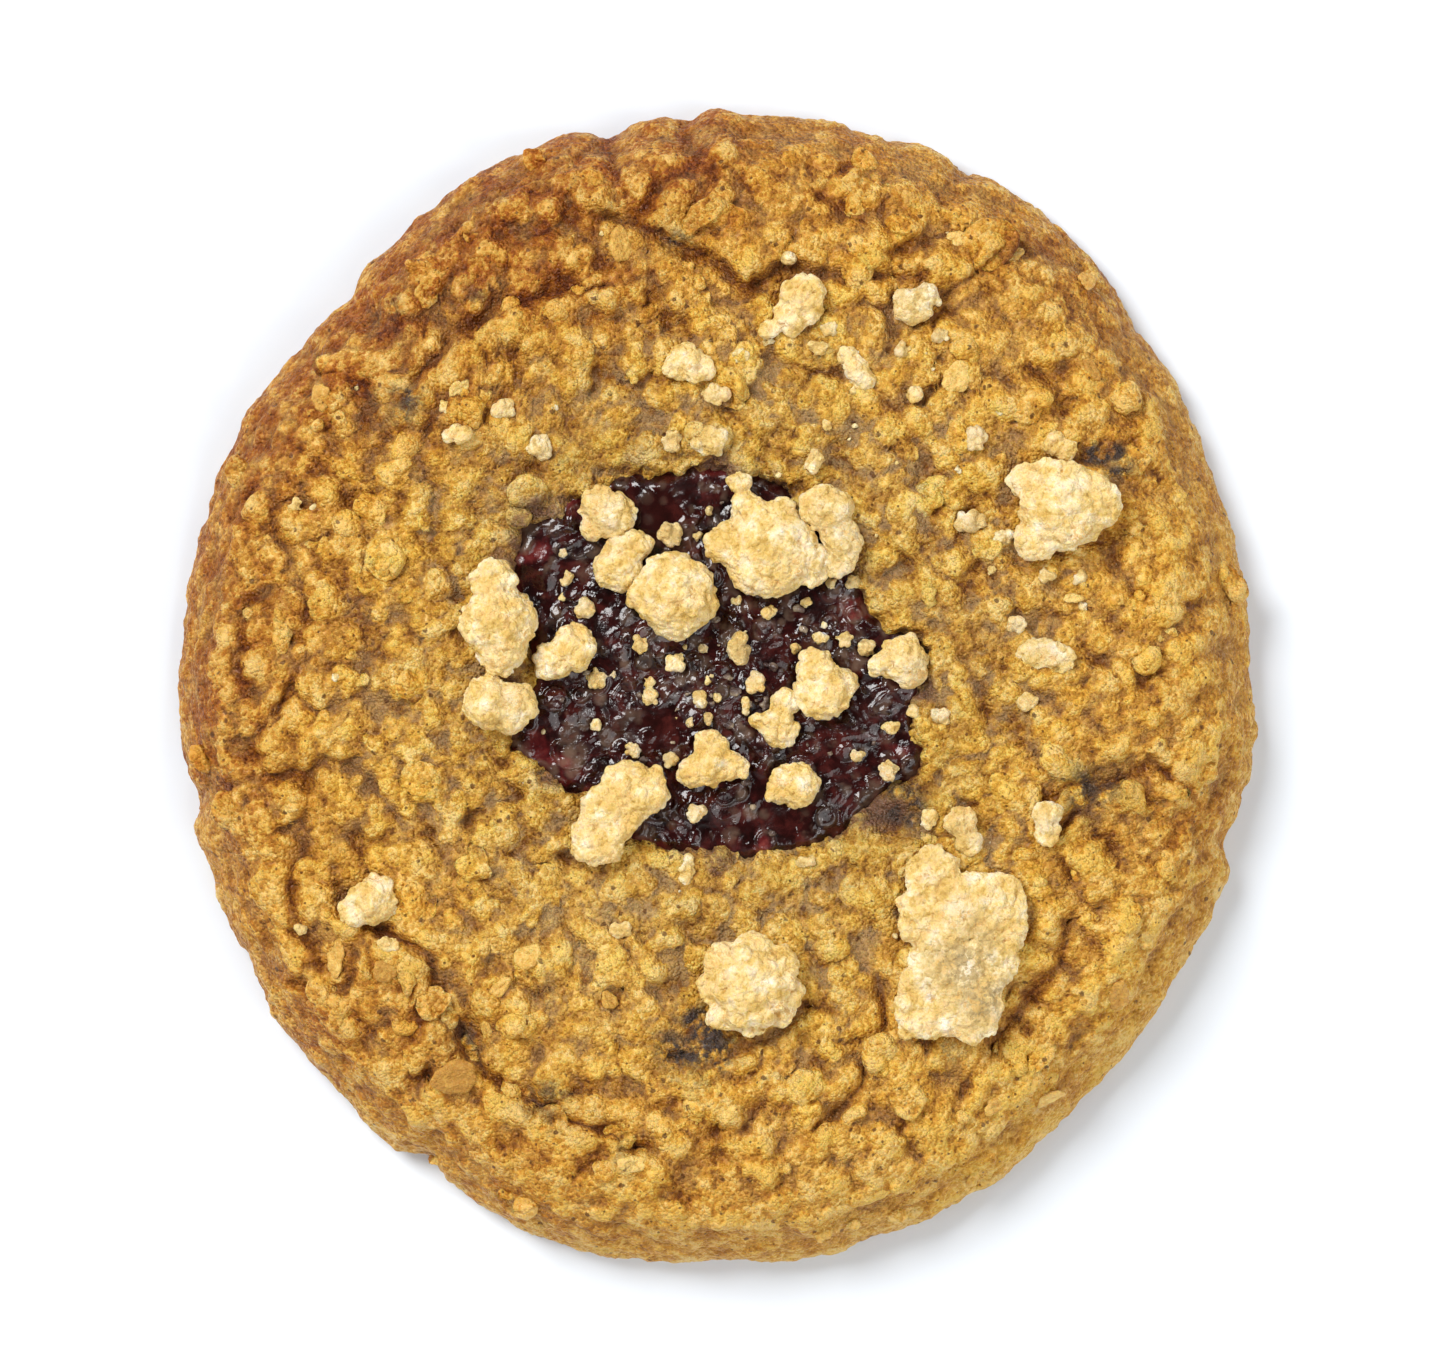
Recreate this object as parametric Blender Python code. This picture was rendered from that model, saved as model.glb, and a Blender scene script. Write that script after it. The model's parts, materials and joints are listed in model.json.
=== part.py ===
"""A large round oatmeal cookie with a dark berry jam centre and pale crumble lumps on top.

The cookie lies flat, with +Z up and the origin at the middle of its underside.
Lengths and heights are written in millimetres. MM turns them into metres when a mesh is made.
"""

import math

import bmesh
import bpy
import numpy as np
from mathutils.geometry import delaunay_2d_cdt

MM = 0.001

# The whole cookie.
WIDTH = 96.8
LENGTH = 103.5
CENTRE_HEIGHT = 12.6
RIM_DROP = 4.0
RIM_POWER = 5
EDGE_POINTS = 168

# The rolled edge: the height of its widest line, the insets and heights of the rings from there
# down to the foot, how far the roll reaches in, the direction in degrees where it reaches
# furthest, its upper rings' insets from the shoulder outwards, and its crags.
LIP_HEIGHT = 1.8
UNDERCUT = ((0.0, LIP_HEIGHT), (0.5, 0.55), (1.7, 0.0))
ROLL_WIDTH = 6.2
ROLL_WIDEST = 15
ROLL_CHANGE = 0.2
SHOULDER_INSET = 2.5
ROLL_INSETS = (1.3, 0.5, 0.12)
EDGE_CRAG = 0.45

# Broad swells of the outline: direction and half-width in degrees, then height.
SWELLS = ((57, 14, 1.3), (134, 14, -1.0), (252, 9, 0.7), (318, 18, -0.5))

# Small bumps all round the outline: width, then height.
EDGE_BUMPS = ((4.5, 0.35), (2.0, 0.2))

# Nicks where folds run out over the edge: direction and half-width in degrees, then depth.
NICKS = (
    (64.7, 1.6, 0.7),
    (93.4, 1.8, 0.8),
    (101.2, 1.8, 0.9),
    (133.5, 2.0, 0.8),
    (141.3, 2.0, 0.8),
    (191.9, 1.8, 0.7),
    (238.6, 2.4, 0.9),
    (342.9, 1.8, 0.9),
)

# Folds of the dough: depth, height of the raised lip, the lip's side (1 left, -1 right), line.
CREASES = (
    (1.3, 0.9, -1, ((-27, 27.5), (-24.5, 30.3), (-20, 34), (-14, 35.5), (-10.5, 36))),
    (1.3, 1.0, 1, ((-10, 42.3), (-5.5, 40.7), (-0.5, 38.8), (2.5, 36), (6, 38), (12, 36.3), (18, 37))),
    (1.0, 0.5, 1, ((-3, 50), (-1.2, 48.2), (-4, 45.5), (-7, 42.5))),
    (0.8, 0.0, 1, ((-9.8, 49.3), (-9.3, 46), (-8, 43))),
    (1.0, 0.5, -1, ((31.5, 41), (26.6, 39.3), (24, 37.5), (20.3, 35.7))),
    (0.7, 0.0, 1, ((13.5, 27), (17, 23), (19.5, 18.5), (19.3, 14))),
    (0.7, 0.0, 1, ((-25, 44), (-20, 44.3), (-12, 45))),
    (0.6, 0.0, 1, ((19.5, 8), (22.5, 1.5), (24, -3))),
    (0.9, 0.4, -1, ((-41, -25), (-37, -27), (-33.5, -27), (-32.3, -23.5))),
    (1.4, 1.0, -1, ((-31.5, -21), (-26, -23.5), (-24, -29.5), (-20.5, -34.5), (-15.5, -37.5), (-7, -41))),
    (0.8, 0.3, -1, ((-36.5, -8), (-36.8, -12), (-38.2, -16), (-38, -20.5))),
    (0.7, 0.0, 1, ((-24, -14), (-23.5, -19), (-21.5, -21.5))),
    (0.8, 0.4, -1, ((0, -33.5), (4.5, -31.3), (8, -28.5))),
    (1.2, 0.5, 1, ((14.5, -26), (15, -30), (13, -35.5), (9, -39.6))),
    (0.6, 0.0, 1, ((4.5, -36), (2.5, -39.5), (-2, -40.6))),
    (1.0, 0.5, -1, ((32, -19), (31, -24.5), (26.5, -29.5), (24, -33))),
    (0.9, 0.4, 1, ((31, -12), (35, -8.5), (38.5, -6.5), (42.5, -9))),
    (0.6, 0.0, 1, ((27, -38), (31, -37.5), (33, -35))),
    (0.6, 0.0, 1, ((-46.5, -9.8), (-42, -8.2), (-36, -7))),
)
CREASE_WIDTH = 0.8
LIP_CREST = 1.5
LIP_REACH = 3.6
CREASE_STEP = 2.2
LEAST_SPACING = 1.15

# Small deep pits in the dough: x, y, radius, depth.
PITS = ((15.3, -11.0, 2.0, 2.6), (-22.5, -32.0, 1.6, 1.2), (-15.7, 19.0, 1.2, 0.7))

# Oat lumps and slow waves in the dough's surface.
OAT_SPACING = 2.9
OAT_HEIGHT = 1.5
OAT_JITTER = 0.62
WAVE_LENGTH = 13.0
WAVE_HEIGHT = 0.7

# The jam, the well that it fills, and the gap between them. The well's wall below its rim is
# given by how far in it has come at each height.
JAM_CENTRE = (0.0, 1.0)
JAM_LEVEL = 11.6
JAM_WAVES = ((5.0, 0.45), (2.2, 0.22))
WELL_WALL = ((0.9, 10.2), (4.0, 6.0))
WELL_GAP = 0.35
JAM_RIM_INSET = 0.85
JAM_POINTS = 60
JAM_SPACING = 2.5
JAM_OUTLINE = (
    (18.5, 1), (17, 4.5), (14, 6.2), (12.5, 9), (9.5, 14), (4.5, 18.4), (0, 19.6), (-5, 18.8),
    (-9.5, 18.6), (-13, 17), (-16, 15), (-18.2, 11.6), (-16.9, 5), (-16.5, 0), (-18.4, -5.2),
    (-14.5, -8.2), (-11.5, -9.6), (-7.5, -13.8), (-3, -14.6), (4, -14.8), (11, -13),
    (14.3, -9.8), (18, -6.8), (17.5, -3),
)

# Crumble lumps: height over width, then the balls that each is made of, as x, y, radius.
LUMPS = (
    (0.62, ((-20.0, 9.3, 2.3), (-19.6, 5.8, 3.6), (-19.4, 3.6, 2.6))),
    (0.70, ((-20.4, -1.4, 2.6), (-18.3, -1.6, 2.4))),
    (0.72, ((-14.7, 2.5, 1.9), (-12.9, 3.6, 2.2))),
    (0.72, ((-10.6, 16.0, 2.0), (-9.3, 15.2, 2.2), (-10.9, 14.5, 1.5))),
    (0.75, ((-9.1, 10.6, 2.3), (-8.4, 11.8, 2.0), (-7.2, 12.6, 1.6))),
    (0.80, ((-3.8, 8.4, 3.9), (-6.3, 8.5, 1.9), (-1.6, 7.7, 2.0), (-4.0, 6.2, 2.2))),
    (0.55, ((4.6, 12.2, 4.6), (1.6, 12.9, 2.6), (8.2, 11.1, 2.3), (2.6, 15.8, 1.9),
            (5.6, 15.0, 2.0), (1.9, 18.4, 1.1))),
    (0.66, ((9.8, 16.0, 2.5), (11.0, 13.4, 2.0), (10.9, 11.4, 1.7))),
    (0.75, ((9.5, -0.3, 2.8), (9.0, 0.9, 2.0), (8.7, 2.5, 1.2), (11.5, 0.2, 1.3))),
    (0.70, ((16.6, 2.5, 2.4), (14.9, 2.2, 1.3), (17.2, 1.5, 1.7))),
    (0.70, ((5.3, -3.0, 1.6), (6.0, -1.4, 1.3), (4.0, -3.0, 1.0), (5.9, -4.1, 1.5))),
    (0.70, ((-0.6, -6.9, 2.1), (-0.6, -5.4, 1.8), (-2.2, -7.6, 1.6), (1.4, -7.0, 1.6))),
    (0.80, ((6.9, -8.7, 2.2), (5.6, -9.3, 1.4), (8.0, -8.4, 1.3))),
    (0.62, ((-9.4, -11.0, 3.0), (-7.9, -9.2, 2.9), (-11.0, -13.4, 2.4), (-6.3, -9.1, 2.3),
            (-10.2, -14.1, 1.9))),
    (0.62, ((30.8, 16.2, 4.3), (33.3, 16.6, 3.0), (27.7, 18.4, 2.0), (28.6, 13.5, 2.2),
            (29.3, 19.0, 1.7))),
    (0.70, ((30.3, 21.9, 1.3), (31.2, 21.3, 1.1))),
    (0.40, ((28.6, 2.9, 1.7), (30.6, 2.6, 1.5), (29.6, 3.3, 1.4))),
    (0.34, ((22.6, -21.4, 5.4), (19.2, -16.8, 2.8), (18.9, -20.2, 3.3), (25.0, -19.4, 3.1),
            (21.4, -26.0, 4.7), (18.9, -28.2, 3.6), (22.4, -28.6, 3.4), (17.5, -30.2, 1.5))),
    (0.60, ((21.7, -11.9, 1.5), (22.5, -13.7, 1.3))),
    (0.60, ((29.4, -11.4, 1.4), (29.4, -12.8, 1.3))),
    (0.66, ((3.0, -26.6, 4.4), (-0.2, -26.8, 1.8), (6.1, -26.9, 1.6), (3.2, -29.9, 1.6),
            (3.2, -23.9, 2.3))),
    (0.70, ((-31.0, -19.1, 2.4), (-30.6, -17.9, 1.5), (-32.5, -19.9, 1.5))),
    (0.66, ((7.6, 35.0, 2.2), (6.5, 33.2, 1.7), (8.1, 33.7, 1.5), (4.5, 32.1, 1.0))),
    (0.70, ((17.3, 34.3, 1.8), (18.6, 35.1, 1.4))),
    (0.70, ((11.9, 29.5, 1.1), (12.6, 28.4, 1.2), (13.1, 27.7, 1.1))),
    (0.66, ((-2.6, 29.1, 1.7), (-1.7, 28.6, 1.4), (-3.3, 28.8, 1.4))),
)
LUMP_SINK = 0.40
LUMP_ROUGHNESS = 0.10
LUMP_BUMPS = 2.4
LARGE_LUMP = 2.5
REST_GAP = 0.3
JAM_WIDENING = 1.02

# Small crumbs stuck to the dough and to the jam: x, y, size along X, size along Y.
DOUGH_CRUMBS = (
    (-0.2, 26.2, 2.9, 2.3), (-0.6, 21.9, 4.0, 2.7), (8.6, 20.2, 2.4, 2.4), (-23.3, 22.6, 2.8, 2.4),
    (-19.2, 24.9, 2.2, 2.0), (-24.3, 25.0, 1.5, 1.5), (-37.8, 16.3, 1.7, 1.5), (-15.9, 21.5, 2.6, 2.6),
    (2.1, 29.6, 2.0, 1.8), (6.3, 38.6, 1.8, 1.8), (9.9, 32.1, 2.2, 1.9), (8.9, 30.3, 2.4, 1.7),
    (19.9, 31.5, 1.8, 1.8), (16.4, 30.3, 1.9, 1.7), (17.7, 26.2, 1.6, 1.9), (23.0, 22.2, 2.3, 2.6),
    (22.6, 14.7, 3.2, 2.4), (25.6, 13.4, 2.2, 1.8), (29.4, 10.1, 1.8, 1.7), (32.4, 9.8, 1.6, 1.6),
    (26.8, 5.5, 2.0, 1.8), (18.9, -11.7, 2.0, 2.0), (20.0, -2.5, 2.2, 1.8), (27.6, -1.2, 2.4, 1.8),
    (-2.9, -16.3, 2.0, 2.4), (-29.5, -22.9, 1.9, 1.9), (-8.7, -21.7, 2.5, 2.0), (7.9, -15.6, 1.9, 1.6),
)
JAM_CRUMBS = (
    (1.8, 3.4, 2.4, 3.5), (-3.8, 2.1, 2.0, 2.2), (-4.1, 13.6, 2.7, 2.6), (-11.9, 7.1, 2.1, 2.2),
    (-6.9, 3.9, 1.8, 1.9), (3.4, 0.6, 1.9, 2.5), (-6.1, -0.8, 1.9, 1.9), (-10.9, 0.8, 2.0, 2.0),
    (-1.6, -1.3, 1.6, 2.0), (12.5, -6.0, 1.7, 1.5), (15.3, -7.4, 2.3, 2.2), (15.5, -3.6, 2.0, 1.6),
    (-7.5, -5.6, 1.8, 1.5), (-1.9, -11.2, 2.0, 1.9), (4.6, 6.7, 1.5, 1.5), (9.2, 4.5, 1.7, 1.5),
    (11.0, 4.5, 1.8, 1.6), (-13.5, 9.8, 1.9, 1.5),
)
CRUMB_SEGMENTS = 5
CRUMB_RINGS = 4
SMALLEST_CRUMB = 1.0
CRUMB_FLATNESS = 0.76
CRUMB_SINK = 0.7

# Colour (linear), roughness.
DOUGH_LOOK = ((0.54, 0.28, 0.062), 0.7)
JAM_LOOK = ((0.042, 0.012, 0.013), 0.2)
CRUMBLE_LOOK = ((0.84, 0.63, 0.27), 0.8)


def clear_scene():
    for obj in list(bpy.data.objects):
        bpy.data.objects.remove(obj)


def cell_random(i, j, seed):
    """A repeatable random number from 0 to 1 for each whole-numbered cell."""
    i, j = i.astype(np.int64), j.astype(np.int64)
    mixed = (i * 374761393 + j * 668265263 + seed * 144665) & 0xFFFFFFFF
    mixed = ((mixed ^ (mixed >> 13)) * 1274126177) & 0xFFFFFFFF
    return ((mixed ^ (mixed >> 16)) & 0xFFFFFF) / 0x1000000


def waves(x, y, size, seed):
    """Smooth random waves from -1 to 1, each about `size` across."""
    i, j = np.floor(x / size), np.floor(y / size)
    a, b = x / size - i, y / size - j
    a, b = a * a * (3 - 2 * a), b * b * (3 - 2 * b)
    near = cell_random(i, j, seed) * (1 - a) + cell_random(i + 1, j, seed) * a
    far = cell_random(i, j + 1, seed) * (1 - a) + cell_random(i + 1, j + 1, seed) * a
    return 2 * (near * (1 - b) + far * b) - 1


def bell(t):
    return np.exp(-t * t)


def outline_radius(angle):
    """How far the widest line of the edge lies from the middle, in each direction."""
    across, along = WIDTH / 2, LENGTH / 2
    cosine, sine = np.cos(angle), np.sin(angle)
    radius = across * along / np.hypot(along * cosine, across * sine)
    for direction, spread, height in SWELLS + tuple((d, s, -h) for d, s, h in NICKS):
        away = (np.degrees(angle) - direction + 180) % 360 - 180
        radius = radius + height * bell(away / spread)
    for seed, (width, height) in enumerate(EDGE_BUMPS, 11):
        radius = radius + height * waves(across * cosine, along * sine, width, seed)
    return radius


def frame_fit():
    """The outline's middle and the scale that gives it its exact width and length."""
    angle = np.linspace(0, 2 * np.pi, 4 * EDGE_POINTS, endpoint=False)
    radius = outline_radius(angle)
    x, y = radius * np.cos(angle), radius * np.sin(angle)
    middle = ((x.max() + x.min()) / 2, (y.max() + y.min()) / 2)
    return middle, (WIDTH / np.ptp(x), LENGTH / np.ptp(y))


def jam_radius(angle):
    """How far the jam's outline lies from JAM_CENTRE: a smooth closed curve through JAM_OUTLINE."""
    points = np.array(JAM_OUTLINE) - JAM_CENTRE
    turns = np.unwrap(np.arctan2(points[:, 1], points[:, 0]))
    reach = np.hypot(points[:, 0], points[:, 1])
    turns = np.concatenate([turns[-2:] - 2 * np.pi, turns, turns[:3] + 2 * np.pi])
    reach = np.concatenate([reach[-2:], reach, reach[:3]])
    slope = np.gradient(reach, turns)
    angle = (angle - turns[1]) % (2 * np.pi) + turns[1]
    k = np.clip(np.searchsorted(turns, angle, side="right") - 1, 0, len(turns) - 2)
    step = turns[k + 1] - turns[k]
    t = (angle - turns[k]) / step
    start = reach[k] * (1 + 2 * t) * (1 - t) ** 2 + slope[k] * step * t * (1 - t) ** 2
    return start + reach[k + 1] * t * t * (3 - 2 * t) + slope[k + 1] * step * t * t * (t - 1)


def jam_depth(x, y):
    """How far inside the jam's outline each point lies. It is negative outside."""
    dx, dy = x - JAM_CENTRE[0], y - JAM_CENTRE[1]
    return jam_radius(np.arctan2(dy, dx)) - np.hypot(dx, dy)


def oat_cell(i, j):
    """The oat lump in each cell: its centre, radius and height."""
    x = (i + 0.5 + OAT_JITTER * (cell_random(i, j, 21) - 0.5)) * OAT_SPACING
    y = (j + 0.5 + OAT_JITTER * (cell_random(i, j, 22) - 0.5)) * OAT_SPACING
    radius = OAT_SPACING * (0.55 + 0.3 * cell_random(i, j, 23))
    return x, y, radius, OAT_HEIGHT * (0.35 + 0.65 * cell_random(i, j, 24))


def oats(x, y):
    """The clustered oat lumps: over each point, the highest of the caps around it."""
    i, j = np.floor(x / OAT_SPACING), np.floor(y / OAT_SPACING)
    highest = np.zeros_like(x)
    for di in (-1, 0, 1):
        for dj in (-1, 0, 1):
            cx, cy, radius, height = oat_cell(i + di, j + dj)
            cap = np.clip(1 - ((x - cx) ** 2 + (y - cy) ** 2) / radius ** 2, 0, 1)
            highest = np.maximum(highest, height * np.sqrt(cap))
    return highest


def creases(x, y):
    """Grooves along the folds, each with the dough raised along one side."""
    relief = np.zeros_like(x)
    for depth, lip, side, line in CREASES:
        nearest = np.full_like(x, 1e9)
        offset = np.zeros_like(x)
        for (ax, ay), (bx, by) in zip(line, line[1:]):
            ux, uy = bx - ax, by - ay
            length = math.hypot(ux, uy)
            t = np.clip(((x - ax) * ux + (y - ay) * uy) / length ** 2, 0, 1)
            away = np.hypot(x - ax - t * ux, y - ay - t * uy)
            left = ((y - ay) * ux - (x - ax) * uy) / length
            offset = np.where(away < nearest, left * side, offset)
            nearest = np.minimum(nearest, away)
        relief -= depth * bell(nearest / CREASE_WIDTH)
        raised = bell((nearest - LIP_CREST) / LIP_REACH)
        relief += lip * raised * np.clip(offset / CREASE_WIDTH, 0, 1)
    return relief


def dough_height(x, y):
    """Height of the dough's upper surface, from the widest line of its edge inwards."""
    angle = np.arctan2(y, x)
    reach, out = outline_radius(angle), np.hypot(x, y)
    inset = np.maximum(reach - out, 0)
    dome = CENTRE_HEIGHT - RIM_DROP * np.clip(out / reach, 0, 1) ** RIM_POWER
    relief = WAVE_HEIGHT * waves(x, y, WAVE_LENGTH, 31) + creases(x, y)
    relief += oats(x, y) - OAT_HEIGHT / 2
    for px, py, radius, depth in PITS:
        relief -= depth * bell(np.hypot(x - px, y - py) / radius)
    roll = ROLL_WIDTH * (1 + ROLL_CHANGE * np.cos(angle - math.radians(ROLL_WIDEST)))
    rounding = np.sqrt(1 - np.clip(1 - inset / roll, 0, 1) ** 2)
    return LIP_HEIGHT + (dome - LIP_HEIGHT) * rounding + relief * np.clip(inset / ROLL_WIDTH, 0, 1)


def jam_height(x, y):
    """Height of the jam's wrinkled top."""
    wrinkles = sum(height * waves(x, y, size, 41 + k) for k, (size, height) in enumerate(JAM_WAVES))
    return JAM_LEVEL + wrinkles


def edge_ring(inset, height):
    """A closed ring round the cookie, this far in from its widest line. None follows the dough."""
    angle = np.linspace(0, 2 * np.pi, EDGE_POINTS, endpoint=False)
    radius = outline_radius(angle) - inset
    x, y = radius * np.cos(angle), radius * np.sin(angle)
    if height is not None:
        return np.column_stack([x, y, np.full_like(x, height)])
    z = dough_height(x, y)
    crag = EDGE_CRAG * (waves(x + 2 * z, y - 2 * z, 3.4, 51) - 1) * min(inset, 1)
    return np.column_stack([x + crag * np.cos(angle), y + crag * np.sin(angle), z])


def jam_ring(inset, height):
    """A closed ring inside the jam's outline. None as the height follows the dough's surface."""
    angle = np.linspace(0, 2 * np.pi, JAM_POINTS, endpoint=False)
    radius = jam_radius(angle) - inset
    x, y = JAM_CENTRE[0] + radius * np.cos(angle), JAM_CENTRE[1] + radius * np.sin(angle)
    z = dough_height(x, y) if height is None else np.full_like(x, height)
    return np.column_stack([x, y, z])


def grid_points(spacing, reach):
    """Cell numbers of a square grid that covers the cookie."""
    count = math.ceil(reach / spacing)
    i, j = np.meshgrid(np.arange(-count, count), np.arange(-count, count))
    return i.ravel().astype(float), j.ravel().astype(float)


def spread_out(groups, gap):
    """Joins groups of points, leaving out any that lies within the gap of one already kept."""
    kept = np.array(groups[0])
    for group in groups[1:]:
        for point in group:
            if np.min(np.hypot(*(kept - point).T)) > gap:
                kept = np.vstack([kept, point])
    return kept


def crease_points():
    """Points along the folds, so that each groove has a row of corners at its bottom."""
    points = []
    for _, _, _, line in CREASES:
        for a, b in zip(line, line[1:]):
            steps = max(1, round(math.dist(a, b) / CREASE_STEP))
            points += [np.add(a, np.subtract(b, a) * k / steps) for k in range(steps)]
    return points


def dough_points(shoulder, well):
    """Corners of the top: the two rings, the folds, each oat lump's peak and the dips between."""
    i, j = grid_points(OAT_SPACING, LENGTH / 2)
    peaks = np.column_stack(oat_cell(i, j)[:2])
    dips = np.column_stack([i, j]) * OAT_SPACING
    inner = []
    for group in (np.array(crease_points()), peaks, dips):
        reach = outline_radius(np.arctan2(group[:, 1], group[:, 0]))
        inside = reach - np.hypot(*group.T) > SHOULDER_INSET + LEAST_SPACING
        inner.append(group[inside & (jam_depth(*group.T) < -LEAST_SPACING)])
    return spread_out([np.vstack([shoulder, well]), *inner], LEAST_SPACING)


def fill_between(points, outer_count, inner_count, is_wanted):
    """Triangles between the points, with the first ones as rings that no triangle crosses."""
    outer = [(k, (k + 1) % outer_count) for k in range(outer_count)]
    inner = [(outer_count + k, outer_count + (k + 1) % inner_count) for k in range(inner_count)]
    flat = [tuple(p) for p in points.tolist()]
    placed, _, faces, _, _, _ = delaunay_2d_cdt(flat, outer + inner, [], 1, 1e-6)
    middles = np.array([[sum(placed[v][k] for v in face) / 3 for k in (0, 1)] for face in faces])
    return [face for face, wanted in zip(faces, is_wanted(*middles.T)) if wanted]


def band(first, second, count):
    """Quads between two rings of the same count, given by their first corner's number."""
    return [
        (first + k, first + (k + 1) % count, second + (k + 1) % count, second + k)
        for k in range(count)
    ]


def material(name, look):
    """The plain finish that every object of one kind shares."""
    found = bpy.data.materials.get(name)
    if found:
        return found
    colour, roughness = look
    made = bpy.data.materials.new(name)
    made.use_nodes = True
    surface = made.node_tree.nodes["Principled BSDF"]
    surface.inputs["Base Color"].default_value = (*colour, 1)
    surface.inputs["Roughness"].default_value = roughness
    surface.inputs["Metallic"].default_value = 0
    return made


def make_object(name, points, faces, look):
    """A closed mesh in metres, moved to the cookie's frame, with its faces pointing out."""
    (mx, my), (sx, sy) = frame_fit()
    points = (np.asarray(points) - (mx, my, 0)) * (sx * MM, sy * MM, MM)
    mesh = bpy.data.meshes.new(name)
    mesh.from_pydata(points.tolist(), [], [list(face) for face in faces])
    obj = bpy.data.objects.new(name, mesh)
    bpy.context.collection.objects.link(obj)
    shape = bmesh.new()
    shape.from_mesh(mesh)
    bmesh.ops.triangulate(shape, faces=shape.faces)
    bmesh.ops.recalc_face_normals(shape, faces=shape.faces)
    shape.to_mesh(mesh)
    shape.free()
    mesh.materials.append(material(name.split("_")[0], look))
    return obj


def close_with_rings(points, faces, first, rings):
    """Hangs rings below the one that starts at this corner number, and closes the last ring."""
    for ring in rings:
        start = sum(len(group) for group in points)
        faces += band(first, start, len(ring))
        points.append(ring)
        first = start
    faces.append(range(first, first + len(rings[-1])))


def make_cookie():
    """The dough: a flat foot, a rolled edge, a craggy top and the well under the jam."""
    shoulder, rim = edge_ring(SHOULDER_INSET, None), jam_ring(0.0, None)
    flat = dough_points(shoulder[:, :2], rim[:, :2])
    top = np.column_stack([flat, dough_height(*flat.T)])
    top[:EDGE_POINTS + JAM_POINTS] = np.vstack([shoulder, rim])
    faces = fill_between(flat, EDGE_POINTS, JAM_POINTS, lambda x, y: jam_depth(x, y) < 0)
    edge = [edge_ring(inset, None) for inset in ROLL_INSETS]
    edge += [edge_ring(inset, height) for inset, height in UNDERCUT]
    points = [top]
    close_with_rings(points, faces, 0, edge)
    close_with_rings(points, faces, EDGE_POINTS, [jam_ring(*place) for place in WELL_WALL])
    return make_object("cookie", np.vstack(points), faces, DOUGH_LOOK)


def make_jam():
    """The jam: it fills the well up to its level, a small gap away from the dough."""
    rim = jam_ring(JAM_RIM_INSET, JAM_LEVEL)
    i, j = grid_points(JAM_SPACING, LENGTH / 4)
    inner = np.column_stack([i + 0.5 * (j % 2), j]) * JAM_SPACING
    inner = inner[jam_depth(*inner.T) > JAM_RIM_INSET + JAM_SPACING / 2]
    flat = spread_out([rim[:, :2], inner], JAM_SPACING / 2)
    top = np.column_stack([flat, jam_height(*flat.T)])
    faces = fill_between(flat, JAM_POINTS, 0, lambda x, y: jam_depth(x, y) > 0)
    points = [top]
    (step, step_height), (foot, floor) = WELL_WALL
    wall = [jam_ring(step + WELL_GAP, step_height), jam_ring(foot + WELL_GAP, floor + WELL_GAP)]
    close_with_rings(points, faces, 0, wall)
    return make_object("jam", np.vstack(points), faces, JAM_LOOK)


def boolean(obj, operation, other):
    """Joins or cuts the object with another object or collection, and applies the result."""
    modifier = obj.modifiers.new(operation.title(), "BOOLEAN")
    modifier.operation = operation
    modifier.solver = "EXACT"
    if isinstance(other, bpy.types.Collection):
        modifier.operand_type = "COLLECTION"
        modifier.collection = other
    else:
        modifier.object = other
    graph = bpy.context.evaluated_depsgraph_get()
    mesh = bpy.data.meshes.new_from_object(obj.evaluated_get(graph))
    obj.modifiers.clear()
    obj.data = mesh


def tidy_mesh(obj):
    """Merges corners that coincide and keeps only the largest body of the mesh."""
    shape = bmesh.new()
    shape.from_mesh(obj.data)
    bmesh.ops.remove_doubles(shape, verts=shape.verts, dist=0.02 * MM)
    bmesh.ops.dissolve_degenerate(shape, edges=shape.edges, dist=0.02 * MM)
    bmesh.ops.triangulate(shape, faces=shape.faces)
    bodies, seen = [], set()
    for start in shape.faces:
        if start in seen:
            continue
        seen.add(start)
        body = [start]
        for face in body:
            beside = {other for edge in face.edges for other in edge.link_faces} - seen
            seen |= beside
            body += beside
        bodies.append(body)
    scraps = [face for body in bodies if body is not max(bodies, key=len) for face in body]
    bmesh.ops.delete(shape, geom=scraps, context="FACES")
    bmesh.ops.recalc_face_normals(shape, faces=shape.faces)
    shape.to_mesh(obj.data)
    shape.free()
    obj.data.shade_smooth()
    obj.data.set_sharp_from_angle(angle=math.radians(50))


def room_beside_lumps(x, y):
    """How wide a crumb at this place may be and still stay clear of every lump."""
    reach = 1 + LUMP_ROUGHNESS
    balls = [ball for _, lump in LUMPS for ball in lump]
    return 2 * min(math.hypot(x - bx, y - by) - radius * reach - REST_GAP for bx, by, radius in balls)


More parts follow.
